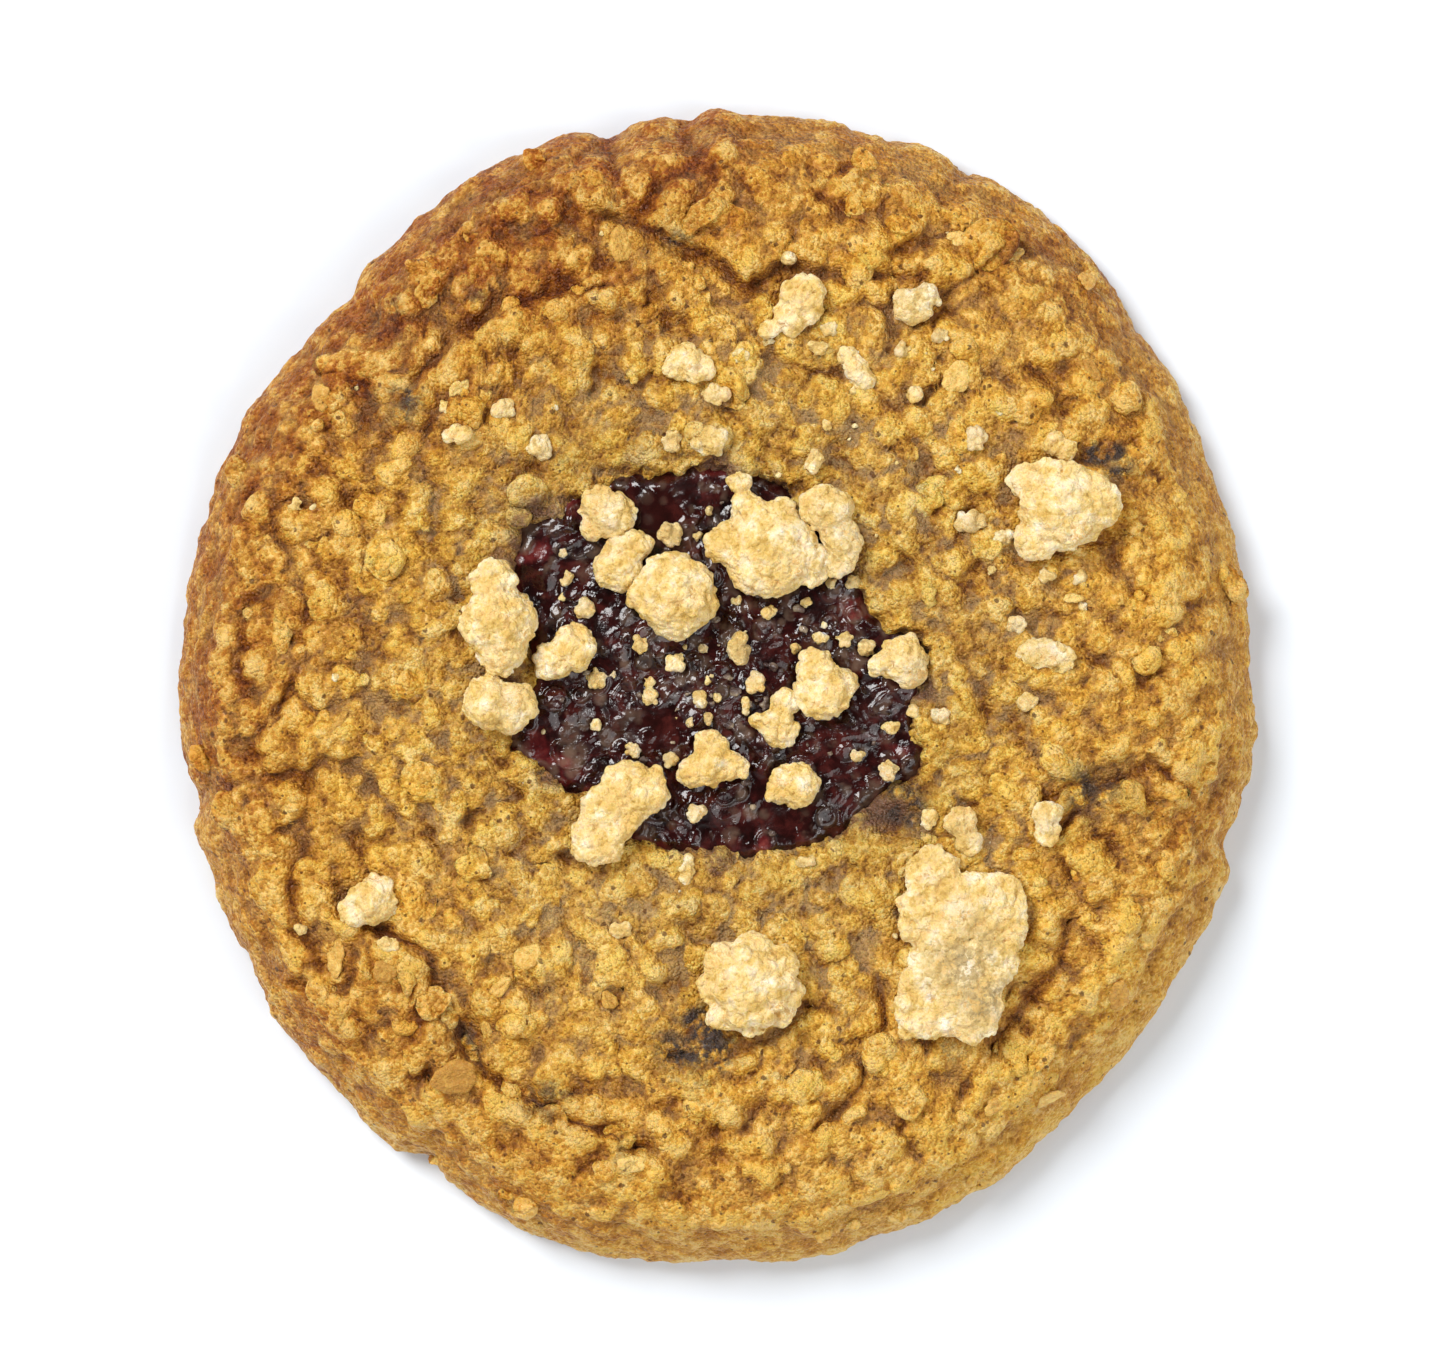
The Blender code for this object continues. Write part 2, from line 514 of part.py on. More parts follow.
def fuse_crumbs(obj, crumbs, surface, look, seed):
    """Joins small crumbs to the object that they lie on, made smaller where a lump is close."""
    group = bpy.data.collections.new(obj.name + "_crumbs")
    bpy.context.scene.collection.children.link(group)
    rng = np.random.default_rng(seed)
    for number, (x, y, width, length) in enumerate(crumbs):
        fit = room_beside_lumps(x, y) / max(width, length)
        if fit * min(width, length) < SMALLEST_CRUMB:
            continue
        width, length = width * min(1, fit), length * min(1, fit)
        shape = bmesh.new()
        bmesh.ops.create_uvsphere(shape, u_segments=CRUMB_SEGMENTS, v_segments=CRUMB_RINGS, radius=1)
        points = np.array([vert.co for vert in shape.verts])
        points *= rng.uniform(0.8, 1.0, (len(points), 1))
        faces = [[vert.index for vert in face.verts] for face in shape.faces]
        shape.free()
        turn = rng.uniform(0, 2 * np.pi)
        cosine, sine = math.cos(turn), math.sin(turn)
        points = points @ np.array([[cosine, sine, 0], [-sine, cosine, 0], [0, 0, 1]])
        half_height = CRUMB_FLATNESS * min(width, length) / 2
        middle = float(surface(np.array([x]), np.array([y]))[0]) + half_height * (1 - CRUMB_SINK)
        points = points * (width / 2, length / 2, half_height) + (x, y, middle)
        crumb = make_object(f"crumb_{number}", points, faces, look)
        bpy.context.collection.objects.unlink(crumb)
        group.objects.link(crumb)
    boolean(obj, "UNION", group)
    for crumb in list(group.objects):
        bpy.data.objects.remove(crumb)
    bpy.data.collections.remove(group)
    tidy_mesh(obj)


def ball_reach(direction, balls, roughness, grow):
    """How far the joined balls reach from the first one's centre, in each direction."""
    reach = np.zeros(len(direction))
    first = np.array(balls[0][:2])
    for x, y, radius in balls:
        centre = np.array([x - first[0], y - first[1], 0])
        along = direction @ centre
        inside = along ** 2 - centre @ centre + radius ** 2
        hit = np.where(inside > 0, along + np.sqrt(np.maximum(inside, 0)), 0)
        reach = np.maximum(reach, hit)
    x, y, z = (direction * LUMP_BUMPS + np.append(first, 0)).T
    bumps = waves(x + 3 * z, y - 2 * z, 0.9, 61)
    return reach * (1 + roughness * bumps) + grow


def lump_mesh(balls, flatness, grow):
    """Corners and faces of one crumble lump, sunk a little into what it lies on."""
    first_x, first_y, first_radius = balls[0]
    fine = first_radius >= LARGE_LUMP
    shape = bmesh.new()
    bmesh.ops.create_icosphere(shape, subdivisions=3 if fine else 2, radius=1)
    direction = np.array([vert.co.normalized() for vert in shape.verts])
    faces = [[vert.index for vert in face.verts] for face in shape.faces]
    shape.free()
    points = direction * ball_reach(direction, balls, LUMP_ROUGHNESS, grow)[:, None]
    half_height = flatness * max(radius for _, _, radius in balls)
    points[:, 2] *= half_height / first_radius
    x = np.array([ball[0] for ball in balls])
    y = np.array([ball[1] for ball in balls])
    ground = np.where(jam_depth(x, y) > 0, jam_height(x, y), dough_height(x, y)).mean()
    return points + (first_x, first_y, ground + half_height * (1 - LUMP_SINK)), faces


def copy_raised(obj, widening):
    """A cutter: a copy of the object, raised and widened so that what it cuts stays clear of it."""
    copy = obj.copy()
    copy.data = obj.data.copy()
    copy.location.z += REST_GAP * MM
    copy.scale.xy = widening, widening
    copy.hide_render = True
    copy.display_type = "WIRE"
    bpy.context.collection.objects.link(copy)
    return copy


def plan_area(balls):
    x, y, radius = np.array(balls).T
    return (np.max(x + radius) - np.min(x - radius)) * (np.max(y + radius) - np.min(y - radius))


def near(one, other):
    return any(math.dist(a[:2], b[:2]) < a[2] + b[2] + 1 for a in one for b in other)


def make_lumps(cookie, jam):
    """The crumble lumps. The ground cuts each from below, and a larger neighbour cuts a smaller."""
    cutters = [copy_raised(cookie, 1.0), copy_raised(jam, JAM_WIDENING)]
    for number, (flatness, balls) in enumerate(LUMPS, 1):
        lump = make_object(f"crumble_{number:02d}", *lump_mesh(balls, flatness, 0), CRUMBLE_LOOK)
        for cutter in cutters:
            boolean(lump, "DIFFERENCE", cutter)
        for other_flatness, other in LUMPS:
            if plan_area(other) > plan_area(balls) and near(balls, other):
                grown = make_object("cutter", *lump_mesh(other, other_flatness, REST_GAP), CRUMBLE_LOOK)
                boolean(lump, "DIFFERENCE", grown)
                bpy.data.objects.remove(grown)
        tidy_mesh(lump)
    for cutter in cutters:
        bpy.data.objects.remove(cutter)


clear_scene()
cookie = make_cookie()
jam = make_jam()
make_lumps(cookie, jam)
fuse_crumbs(cookie, DOUGH_CRUMBS, dough_height, CRUMBLE_LOOK, 71)
fuse_crumbs(jam, JAM_CRUMBS, jam_height, CRUMBLE_LOOK, 72)
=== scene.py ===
"""The looks of a large oatmeal cookie: craggy golden dough, a dark berry jam centre, pale crumble.

Lengths are millimetres in the cookie's frame: +X and +Y are right and up as seen from above, and
+Z is up. MM turns them into metres when a mesh is made. Colours are written as sRGB, 0 to 255.
"""

import itertools
import json
import math

import bmesh
import bpy
import numpy as np
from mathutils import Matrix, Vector

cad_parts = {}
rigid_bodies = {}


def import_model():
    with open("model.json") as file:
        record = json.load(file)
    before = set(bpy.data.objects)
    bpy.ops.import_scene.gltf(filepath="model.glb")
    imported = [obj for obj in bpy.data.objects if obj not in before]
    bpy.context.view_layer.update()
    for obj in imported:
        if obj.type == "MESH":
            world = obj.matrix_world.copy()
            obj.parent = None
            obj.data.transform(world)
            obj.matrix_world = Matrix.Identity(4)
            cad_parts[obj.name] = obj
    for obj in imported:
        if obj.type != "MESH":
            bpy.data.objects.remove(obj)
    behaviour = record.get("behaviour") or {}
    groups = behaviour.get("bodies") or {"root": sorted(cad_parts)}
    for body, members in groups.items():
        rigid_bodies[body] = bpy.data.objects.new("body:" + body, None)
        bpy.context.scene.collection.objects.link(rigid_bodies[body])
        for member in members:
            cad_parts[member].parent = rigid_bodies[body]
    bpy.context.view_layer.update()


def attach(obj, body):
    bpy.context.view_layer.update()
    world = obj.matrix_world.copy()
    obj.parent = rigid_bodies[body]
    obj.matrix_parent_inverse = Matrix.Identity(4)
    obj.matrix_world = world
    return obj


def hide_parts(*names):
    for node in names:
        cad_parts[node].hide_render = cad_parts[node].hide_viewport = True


MM = 0.001

# The cookie's form. Its solids follow the same form, with fewer and rounder details.
WIDTH = 96.8
LENGTH = 103.5
CENTRE_HEIGHT = 12.6
RIM_DROP = 4.0
RIM_POWER = 5
FIT_POINTS = 672
LIP_HEIGHT = 1.8
FOOT_INSET = 1.7
ROLL_WIDTH = 6.2
ROLL_WIDEST = 15
ROLL_CHANGE = 0.2
EDGE_CRAG = 0.45
CRAG_SIZE = 3.4
CRAG_REACH = 3.5
UNDERSIDE_INSET = FOOT_INSET + 0.5
DENT_DEPTH = 0.25

# Where the outline swells and where it is nicked: direction and spread in degrees, height or depth.
# The bumps all round it: size, height.
SWELLS = ((57, 14, 1.3), (134, 14, -1.0), (252, 9, 0.7), (318, 18, -0.5))
EDGE_BUMPS = ((4.5, 0.35), (2.0, 0.2))
NICKS = (
    (64.7, 1.6, 0.7),
    (93.4, 1.8, 0.8),
    (101.2, 1.8, 0.9),
    (133.5, 2.0, 0.8),
    (141.3, 2.0, 0.8),
    (191.9, 1.8, 0.7),
    (238.6, 2.4, 0.9),
    (342.9, 1.8, 0.9),
)

# Folds of the dough: depth, height of the raised lip, the lip's side (1 left, -1 right), line.
CREASES = (
    (1.3, 0.9, -1, ((-27, 27.5), (-24.5, 30.3), (-20, 34), (-14, 35.5), (-10.5, 36))),
    (1.3, 1.0, 1, ((-10, 42.3), (-5.5, 40.7), (-0.5, 38.8), (2.5, 36), (6, 38), (12, 36.3), (18, 37))),
    (1.0, 0.5, 1, ((-3, 50), (-1.2, 48.2), (-4, 45.5), (-7, 42.5))),
    (0.8, 0.0, 1, ((-9.8, 49.3), (-9.3, 46), (-8, 43))),
    (1.0, 0.5, -1, ((31.5, 41), (26.6, 39.3), (24, 37.5), (20.3, 35.7))),
    (0.7, 0.0, 1, ((13.5, 27), (17, 23), (19.5, 18.5), (19.3, 14))),
    (0.7, 0.0, 1, ((-25, 44), (-20, 44.3), (-12, 45))),
    (0.6, 0.0, 1, ((19.5, 8), (22.5, 1.5), (24, -3))),
    (0.9, 0.4, -1, ((-41, -25), (-37, -27), (-33.5, -27), (-32.3, -23.5))),
    (1.4, 1.0, -1, ((-31.5, -21), (-26, -23.5), (-24, -29.5), (-20.5, -34.5), (-15.5, -37.5), (-7, -41))),
    (0.8, 0.3, -1, ((-36.5, -8), (-36.8, -12), (-38.2, -16), (-38, -20.5))),
    (0.7, 0.0, 1, ((-24, -14), (-23.5, -19), (-21.5, -21.5))),
    (0.8, 0.4, -1, ((0, -33.5), (4.5, -31.3), (8, -28.5))),
    (1.2, 0.5, 1, ((14.5, -26), (15, -30), (13, -35.5), (9, -39.6))),
    (0.6, 0.0, 1, ((4.5, -36), (2.5, -39.5), (-2, -40.6))),
    (1.0, 0.5, -1, ((32, -19), (31, -24.5), (26.5, -29.5), (24, -33))),
    (0.9, 0.4, 1, ((31, -12), (35, -8.5), (38.5, -6.5), (42.5, -9))),
    (0.6, 0.0, 1, ((27, -38), (31, -37.5), (33, -35))),
    (0.6, 0.0, 1, ((-46.5, -9.8), (-42, -8.2), (-36, -7))),
)

# Shallow cracks that only show close up, in the same form.
CRACKS = (
    (0.5, 0.0, 1, ((-37.5, 30), (-35, 30.5))),
    (0.6, 0.2, 1, ((15, 38.8), (17, 39.5), (20, 40.3), (22, 41))),
    (0.6, 0.0, 1, ((9, 44), (10, 45.5), (12, 46.7), (14, 46.6), (15, 45.2))),
    (0.5, 0.0, 1, ((4, 29.5), (7, 29), (9, 28), (11, 28.2))),
    (0.5, 0.0, 1, ((-22, -44.5), (-20, -43.5), (-17, -43))),
    (0.6, 0.0, 1, ((-34, -6), (-31, -8), (-28, -12))),
    (0.6, 0.0, 1, ((-30, -39.5), (-27, -40), (-25.5, -38.5))),
    (0.5, 0.0, 1, ((5, -41), (6, -42.5), (7, -44.5))),
    (0.6, 0.0, 1, ((31, -15), (32, -18), (34, -20.5))),
    (0.6, 0.2, 1, ((44.5, -14), (44, -19), (41.5, -19.7))),
    (0.5, 0.0, 1, ((-12, -20), (-8, -23), (-6, -27))),
    (0.5, 0.0, 1, ((36, 30), (38, 26), (40, 20))),
    (0.5, 0.0, 1, ((33, 4), (36, 0), (36, -4))),
    (0.5, 0.0, 1, ((-40, 14), (-37, 9), (-37, 3))),
)

# How wide the folds' grooves are, how much of their relief shows, how far beside a groove its lip is
# highest, and how wide the lip is.
CREASE_WIDTH = 0.65
CREASE_SHARE = 0.7
LIP_CREST = 1.5
LIP_REACH = 3.6

# Pits beside the jam and in a fold: x, y, radius, depth. The number below is how dark the painted shade in
# them is.
PITS = ((15.3, -11.0, 2.0, 2.6), (-22.5, -32.0, 1.6, 1.2), (-15.7, 19.0, 1.2, 0.7))
PIT_PAINTED_SHADE = 0.8

# Oat lumps and slow waves in the dough's surface.
OAT_SPACING = 2.9
OAT_HEIGHT = 1.5
OAT_JITTER = 0.98
OAT_TURN = math.radians(34)
OAT_STRETCH = 1.15
OAT_SHARE = 0.8
WAVE_LENGTH = 13.0
WAVE_HEIGHT = 0.7

# The jam and the well that it fills. The waves on it are given as size and height, and both walls as
# inset from the jam's outline and height.
JAM_CENTRE = (0.0, 1.0)
JAM_LEVEL = 11.6
JAM_WAVES = ((5.0, 0.45), (2.2, 0.22))
WELL_WALL = ((0.9, 10.2), (4.0, 6.0))
WELL_ROUNDING = 0.9
WELL_GAP = 0.35
JAM_WALL = ((0.9, 10.5), (4.0, 6.4))
JAM_TUCK = 0.7
JAM_OUTLINE = (
    (18.5, 1), (17, 4.5), (14, 6.2), (12.5, 9), (9.5, 14), (4.5, 18.4), (0, 19.6), (-5, 18.8),
    (-9.5, 18.6), (-13, 17), (-16, 15), (-18.2, 11.6), (-16.9, 5), (-16.5, 0), (-18.4, -5.2),
    (-14.5, -8.2), (-11.5, -9.6), (-7.5, -13.8), (-3, -14.6), (4, -14.8), (11, -13),
    (14.3, -9.8), (18, -6.8), (17.5, -3),
)

# Outside the jam the dough comes a share of the way to a level just above it, over some width.
SHORE_SHARE = 0.65
SHORE_WIDTH = 2.8
SHORE_LEVEL = JAM_LEVEL + 0.2

# Crumble lumps: height over width, then the balls that each is made of, as x, y, radius.
LUMPS = (
    (0.62, ((-20.0, 9.3, 2.3), (-19.6, 5.8, 3.6), (-19.4, 3.6, 2.6))),
    (0.70, ((-20.4, -1.4, 2.6), (-18.3, -1.6, 2.4))),
    (0.72, ((-14.7, 2.5, 1.9), (-12.9, 3.6, 2.2))),
    (0.72, ((-10.6, 16.0, 2.0), (-9.3, 15.2, 2.2), (-10.9, 14.5, 1.5))),
    (0.75, ((-9.1, 10.6, 2.3), (-8.4, 11.8, 2.0), (-7.2, 12.6, 1.6))),
    (0.80, ((-3.8, 8.4, 3.9), (-6.3, 8.5, 1.9), (-1.6, 7.7, 2.0), (-4.0, 6.2, 2.2))),
    (0.55, ((4.6, 12.2, 4.6), (1.6, 12.9, 2.6), (8.2, 11.1, 2.3), (2.6, 15.8, 1.9),
            (5.6, 15.0, 2.0), (1.9, 18.4, 1.1))),
    (0.66, ((9.8, 16.0, 2.5), (11.0, 13.4, 2.0), (10.9, 11.4, 1.7))),
    (0.75, ((9.5, -0.3, 2.8), (9.0, 0.9, 2.0), (8.7, 2.5, 1.2), (11.5, 0.2, 1.3))),
    (0.70, ((16.6, 2.5, 2.4), (14.9, 2.2, 1.3), (17.2, 1.5, 1.7))),
    (0.70, ((5.3, -3.0, 1.6), (6.0, -1.4, 1.3), (4.0, -3.0, 1.0), (5.9, -4.1, 1.5))),
    (0.70, ((-0.6, -6.9, 2.1), (-0.6, -5.4, 1.8), (-2.2, -7.6, 1.6), (1.4, -7.0, 1.6))),
    (0.80, ((6.9, -8.7, 2.2), (5.6, -9.3, 1.4), (8.0, -8.4, 1.3))),
    (0.62, ((-9.4, -11.0, 3.0), (-7.9, -9.2, 2.9), (-11.0, -13.4, 2.4), (-6.3, -9.1, 2.3),
            (-10.2, -14.1, 1.9))),
    (0.62, ((30.8, 16.2, 4.3), (33.3, 16.6, 3.0), (27.7, 18.4, 2.0), (28.6, 13.5, 2.2),
            (29.3, 19.0, 1.7))),
    (0.70, ((30.3, 21.9, 1.3), (31.2, 21.3, 1.1))),
    (0.40, ((28.6, 2.9, 1.7), (30.6, 2.6, 1.5), (29.6, 3.3, 1.4))),
    (0.34, ((22.6, -21.4, 5.4), (19.2, -16.8, 2.8), (18.9, -20.2, 3.3), (25.0, -19.4, 3.1),
            (21.4, -26.0, 4.7), (18.9, -28.2, 3.6), (22.4, -28.6, 3.4), (17.5, -30.2, 1.5),
            (19.6, -24.0, 2.9), (24.4, -24.2, 2.6))),
    (0.60, ((21.7, -11.9, 1.5), (22.5, -13.7, 1.3))),
    (0.60, ((29.4, -11.4, 1.4), (29.4, -12.8, 1.3))),
    (0.66, ((3.0, -26.6, 4.4), (-0.2, -26.8, 1.8), (6.1, -26.9, 1.6), (3.2, -29.9, 1.6),
            (3.2, -23.9, 2.3), (0.7, -24.6, 2.2), (5.5, -24.8, 2.1), (5.4, -28.6, 2.0), (0.8, -28.7, 2.0))),
    (0.70, ((-31.0, -19.1, 2.4), (-30.6, -17.9, 1.5), (-32.5, -19.9, 1.5))),
    (0.66, ((7.6, 35.0, 2.2), (6.5, 33.2, 1.7), (8.1, 33.7, 1.5), (4.5, 32.1, 1.0))),
    (0.70, ((17.3, 34.3, 1.8), (18.6, 35.1, 1.4))),
    (0.70, ((11.9, 29.5, 1.1), (12.6, 28.4, 1.2), (13.1, 27.7, 1.1))),
    (0.66, ((-2.6, 29.1, 1.7), (-1.7, 28.6, 1.4), (-3.3, 28.8, 1.4))),
)

# How much of a lump's half-height is sunk, and how fine its mesh is.
LUMP_SINK = 0.40
LUMP_VOXEL = 0.155

# The core of a lump against its solid, in width and height, which leaves room for the knobs on it,
# and those knobs: how many on a square millimetre, smallest and largest radius.
LUMP_CORE = (0.94, 0.86)
LUMP_KNOBS = ((0.16, 0.6, 1.15), (1.25, 0.22, 0.58))

# Small crumbs stuck to the dough and to the jam: x, y, size along X, size along Y.
DOUGH_CRUMBS = (
    (-0.2, 26.2, 2.9, 2.3), (-0.6, 21.9, 4.0, 2.7), (8.6, 20.2, 2.4, 2.4), (9.8, 23.5, 1.3, 1.3),
    (-23.3, 22.6, 2.8, 2.4), (-19.2, 24.9, 2.2, 2.0), (-24.3, 25.0, 1.5, 1.5), (-14.5, 25.0, 1.0, 1.0),
    (-37.8, 16.3, 1.7, 1.5), (-15.9, 21.5, 2.6, 2.6), (-4.0, 22.0, 2.5, 2.0), (4.6, 31.0, 1.5, 1.5),
    (2.1, 29.6, 2.0, 1.8), (6.3, 38.6, 1.8, 1.8), (9.9, 32.1, 2.2, 1.9), (8.9, 30.3, 2.4, 1.7),
    (12.2, 26.5, 1.0, 1.0), (19.9, 31.5, 1.8, 1.8), (16.4, 30.3, 1.9, 1.7), (17.7, 26.2, 1.6, 1.9),
    (25.2, 24.7, 1.0, 1.0), (23.0, 22.2, 2.3, 2.6), (21.5, 19.5, 1.0, 1.0), (22.6, 14.7, 3.2, 2.4),
    (25.6, 13.4, 2.2, 1.8), (29.4, 10.1, 1.8, 1.7), (32.4, 9.8, 1.6, 1.6), (32.6, 7.2, 1.2, 1.2),
    (24.5, 10.5, 1.0, 1.0), (26.8, 5.5, 2.0, 1.8), (18.9, -11.7, 2.0, 2.0), (20.0, -2.5, 2.2, 1.8),
    (27.6, -1.2, 2.4, 1.8), (17.5, -2.0, 1.5, 1.3), (-2.9, -16.3, 2.0, 3.4), (-37.3, -21.7, 1.4, 1.4),
    (-29.5, -22.9, 1.9, 1.9), (-8.7, -21.7, 2.5, 2.0), (7.9, -15.6, 1.9, 1.6), (10.2, 9.2, 1.4, 1.3),
    (12.2, 9.4, 1.6, 1.5),
)
JAM_CRUMBS = (
    (1.8, 3.4, 2.4, 3.5), (-3.8, 2.1, 2.0, 2.2), (-4.1, 13.6, 2.7, 2.6), (-11.9, 7.1, 2.1, 2.2),
    (-6.9, 3.9, 1.8, 1.9), (3.4, 0.6, 1.9, 2.5), (-6.2, 0.5, 1.5, 1.3), (-6.1, -0.8, 1.9, 1.9),
    (-10.9, 0.8, 2.4, 2.2), (-9.3, 1.2, 1.0, 1.0), (-1.6, -1.1, 1.6, 2.2), (-2.5, -3.0, 1.2, 1.2),
    (-0.9, -2.8, 1.2, 1.2), (2.5, -1.7, 1.1, 1.8), (12.5, -6.0, 1.7, 1.5), (15.3, -7.4, 2.5, 2.3),
    (15.5, -3.6, 2.0, 1.4), (-7.5, -5.6, 1.8, 1.5), (-4.2, -6.5, 1.5, 1.5), (-1.9, -11.2, 2.0, 1.9),
    (4.6, 6.7, 1.5, 1.5), (1.7, 7.8, 1.2, 1.2), (8.0, 7.5, 1.2, 1.2), (9.6, 5.6, 0.9, 0.9),
    (9.2, 4.5, 1.8, 1.6), (11.3, 4.4, 2.0, 1.7), (13.4, 3.6, 2.0, 1.8), (7.0, 3.5, 1.2, 1.2),
    (-13.4, 9.8, 1.9, 1.6), (-13.9, 8.1, 1.0, 1.0), (-13.8, 12.0, 1.0, 1.0), (-0.8, 15.8, 1.0, 1.0),
    (-1.8, 13.5, 1.2, 1.2), (-0.7, 0.9, 1.2, 1.2), (-11.0, -3.4, 1.3, 1.3), (-1.3, 3.5, 1.2, 1.2),
    (0.0, -0.8, 1.0, 1.0),
)
CRUMB_VOXEL = 0.115

# Golden oat nubs that stand out of the dough: x, y, width, how orange they are.
NUBS = (
    (-26.5, 37.5, 2.5, 0.5), (-18.5, 34.0, 2.0, 0.5), (-14.3, 33.5, 2.0, 0.4), (-12.5, 29.8, 2.5, 0.3),
    (-22.0, 26.7, 3.5, 0.3), (-35.0, 29.0, 2.0, 0.5), (-27.5, 21.0, 2.8, 0.4), (1.0, 42.0, 3.0, 0.5),
    (-2.5, 36.5, 3.0, 0.3), (12.5, 44.0, 4.0, 0.1), (16.5, 41.0, 3.0, 0.2), (12.5, 38.0, 4.0, 0.2),
    (24.0, 40.0, 4.0, 0.3), (31.0, -6.0, 4.2, 0.0), (26.5, -9.5, 4.0, 0.1), (36.5, -9.5, 3.5, 0.2),
    (27.5, -15.2, 2.5, 0.2), (41.0, -9.5, 1.8, 0.2), (-26.5, -8.3, 3.5, 0.2), (-27.0, -19.0, 3.5, 0.5),
    (-18.0, -30.0, 3.0, 0.2), (19.0, -13.7, 2.0, 0.2), (-34.6, -3.3, 2.8, 0.0), (-25.5, -28.0, 2.8, 0.3),
    (37.0, 20.0, 3.0, 0.2), (40.0, 8.0, 3.0, 0.2), (36.0, -21.0, 3.5, 0.1), (8.0, -36.0, 3.0, 0.2),
    (-2.0, -37.5, 2.5, 0.1), (17.0, -37.0, 3.2, 0.2), (29.0, -33.0, 3.0, 0.2), (-34.0, -29.0, 2.6, 0.3),
)

# Flat oat flakes: x, y, length, width, direction in degrees.
FLAKES = (
    (17.5, 43.5, 2.8, 1.3, -35), (-34.6, -3.3, 3.2, 2.0, 30), (-23.5, -34.8, 4.3, 3.0, 0),
    (-17.0, -24.0, 2.6, 2.2, 60), (-7.5, -42.5, 3.0, 1.6, 10), (29.8, -36.8, 2.6, 1.4, 20),
    (33.2, 36.5, 2.2, 1.6, 40), (-35.5, 26.0, 2.6, 1.8, 80), (33.5, 28.5, 2.2, 1.2, -60),
)

# The dough's middle tone, how far in from the edge it is browner and how far out from the jam darker.
MIDDLE_TONE = 0.52
BROWN_RIM = 14
JAM_SHADE = 6.5

# Browner and paler areas of the dough and dark berry spots in it: x, y, radius, strength.
TOASTED = (
    (-17, 39, 9, 0.9), (-29, 31, 9, 0.6), (-10, 36, 6, 0.7), (-40, 20, 7, 0.4), (-4, 44, 7, 0.5),
    (-25, -28, 6, 0.6), (-45, -2, 7, 0.4), (37, 33, 8, 0.1), (30, 39, 6, 0.2), (-37, 6, 8, 0.3),
    (-14, -41, 7, 0.3), (42, -12, 7, 0.35), (2, -45, 8, 0.2), (-35, -30, 6, 0.3), (24, 9, 3, 0.4),
    (-25, 26, 6, 0.5), (-31, -26, 6, 0.3),
)
PALE = (
    (-10, -22, 9, 0.6), (5, -20, 7, 0.4), (-22, -15, 7, 0.3), (12, 22, 7, 0.3), (24, 5, 6, 0.3),
    (-18, 20, 6, 0.3), (17, -33, 7, 0.2), (-28, 0, 7, 0.2), (12, -44, 7, 0.2), (22, 27, 6, 0.3),
)
STAINS = (
    (-0.8, -31.4, 2.2, 1.6), (-3.0, -33.2, 1.8, 1.4), (34.2, 20.6, 1.4, 1.6), (36.0, 18.6, 1.4, 1.2),
    (-28.0, 25.0, 1.7, 1.0), (-22.0, 35.0, 1.5, 0.8), (-4.0, 40.5, 1.6, 0.9), (33.5, -9.2, 2.4, 1.0),
    (-22.5, -31.5, 1.8, 0.9), (-15.5, -37.0, 1.8, 0.8), (-8.0, -41.5, 1.5, 0.6), (16.0, -10.8, 2.2, 1.4),
    (9.5, 30.0, 1.8, 0.4), (-29.0, 33.5, 1.4, 0.6), (21.0, -31.5, 1.8, 0.5), (-13.0, 21.0, 2.2, 0.4),
)

# Sizes and heights of the rounded lumps in the dough, and how much flatter they are on the edge.
# Between them lie oat lumps of OAT_SPACING and of two smaller sizes.
PUFFS = ((3.3, 0.42, 0.5), (1.7, 0.32, 0.4), (0.9, 0.18, 0.0), (0.5, 0.10, -0.3))
MIDDLE_LUMP = 1.5
SMALL_LUMP = 0.8

# Sizes and heights of the rounded lumps on the nubs, and the width above which a nub is finer.
NUB_PUFFS = ((1.4, 0.40), (0.7, 0.20), (0.42, 0.08))
LARGE_NUB = 2.4

# Parts of the crumble lumps that are greyer: x, y, radius, strength. The strongest two, in the hollow of the
# large slab, are painted shade; the others are greyer crumble.
GREY_AND_SHADED_PARTS = (
    (22.3, -25.0, 2.8, 1.2), (24.2, -27.6, 2.4, 1.1), (23.8, -22.5, 2.2, 0.7), (21.0, -20.5, 1.8, 0.4),
    (10.8, 14.0, 3.2, 0.45), (-10.3, 15.2, 2.4, 0.4), (17.8, 34.6, 2.3, 0.55), (21.9, -12.5, 2.0, 0.4),
    (29.6, 2.9, 2.4, 0.4), (-18.6, -2.6, 2.0, 0.4), (29.4, -12.0, 1.5, 0.4), (17.4, 1.0, 1.8, 0.4),
)

# What the jam's top is covered with.
WRINKLE_SIZE = 2.6
FINE_WRINKLE_SIZE = 1.1
BUBBLE_SIZE = 1.5
PEARL_SIZE = 0.9

# Smooth dark pools of the jam, and dark red pieces in it: x, y, radius, strength.
POOLS = ((-6.0, 15.3, 3.0, 1.0), (-7.0, -4.0, 2.2, 0.6), (13.5, -1.0, 1.6, 0.7), (5.5, -11.0, 1.8, 0.5))
RED_PARTS = (
    (-17.0, 12.0, 1.6, 0.9), (-17.0, -6.0, 2.0, 1.0), (-14.0, -7.5, 1.8, 0.9), (4.3, -13.8, 1.3, 0.8),
    (12.5, 7.3, 1.6, 0.9), (17.3, -6.0, 1.3, 0.8), (2.0, -4.0, 1.2, 0.6), (-13.5, 16.0, 1.4, 0.6),
    (-1.5, 16.5, 1.6, 0.4), (9.0, 8.0, 1.4, 0.5),
)

# How many small pieces are scattered at random, besides those in the tables. The flakes are counted
# with those in their table.
RANDOM_NUBS = 90
FLAKE_COUNT = 22
DUST_ON_DOUGH = 60
DUST_ON_JAM = 14
BEAD_COUNT = 80

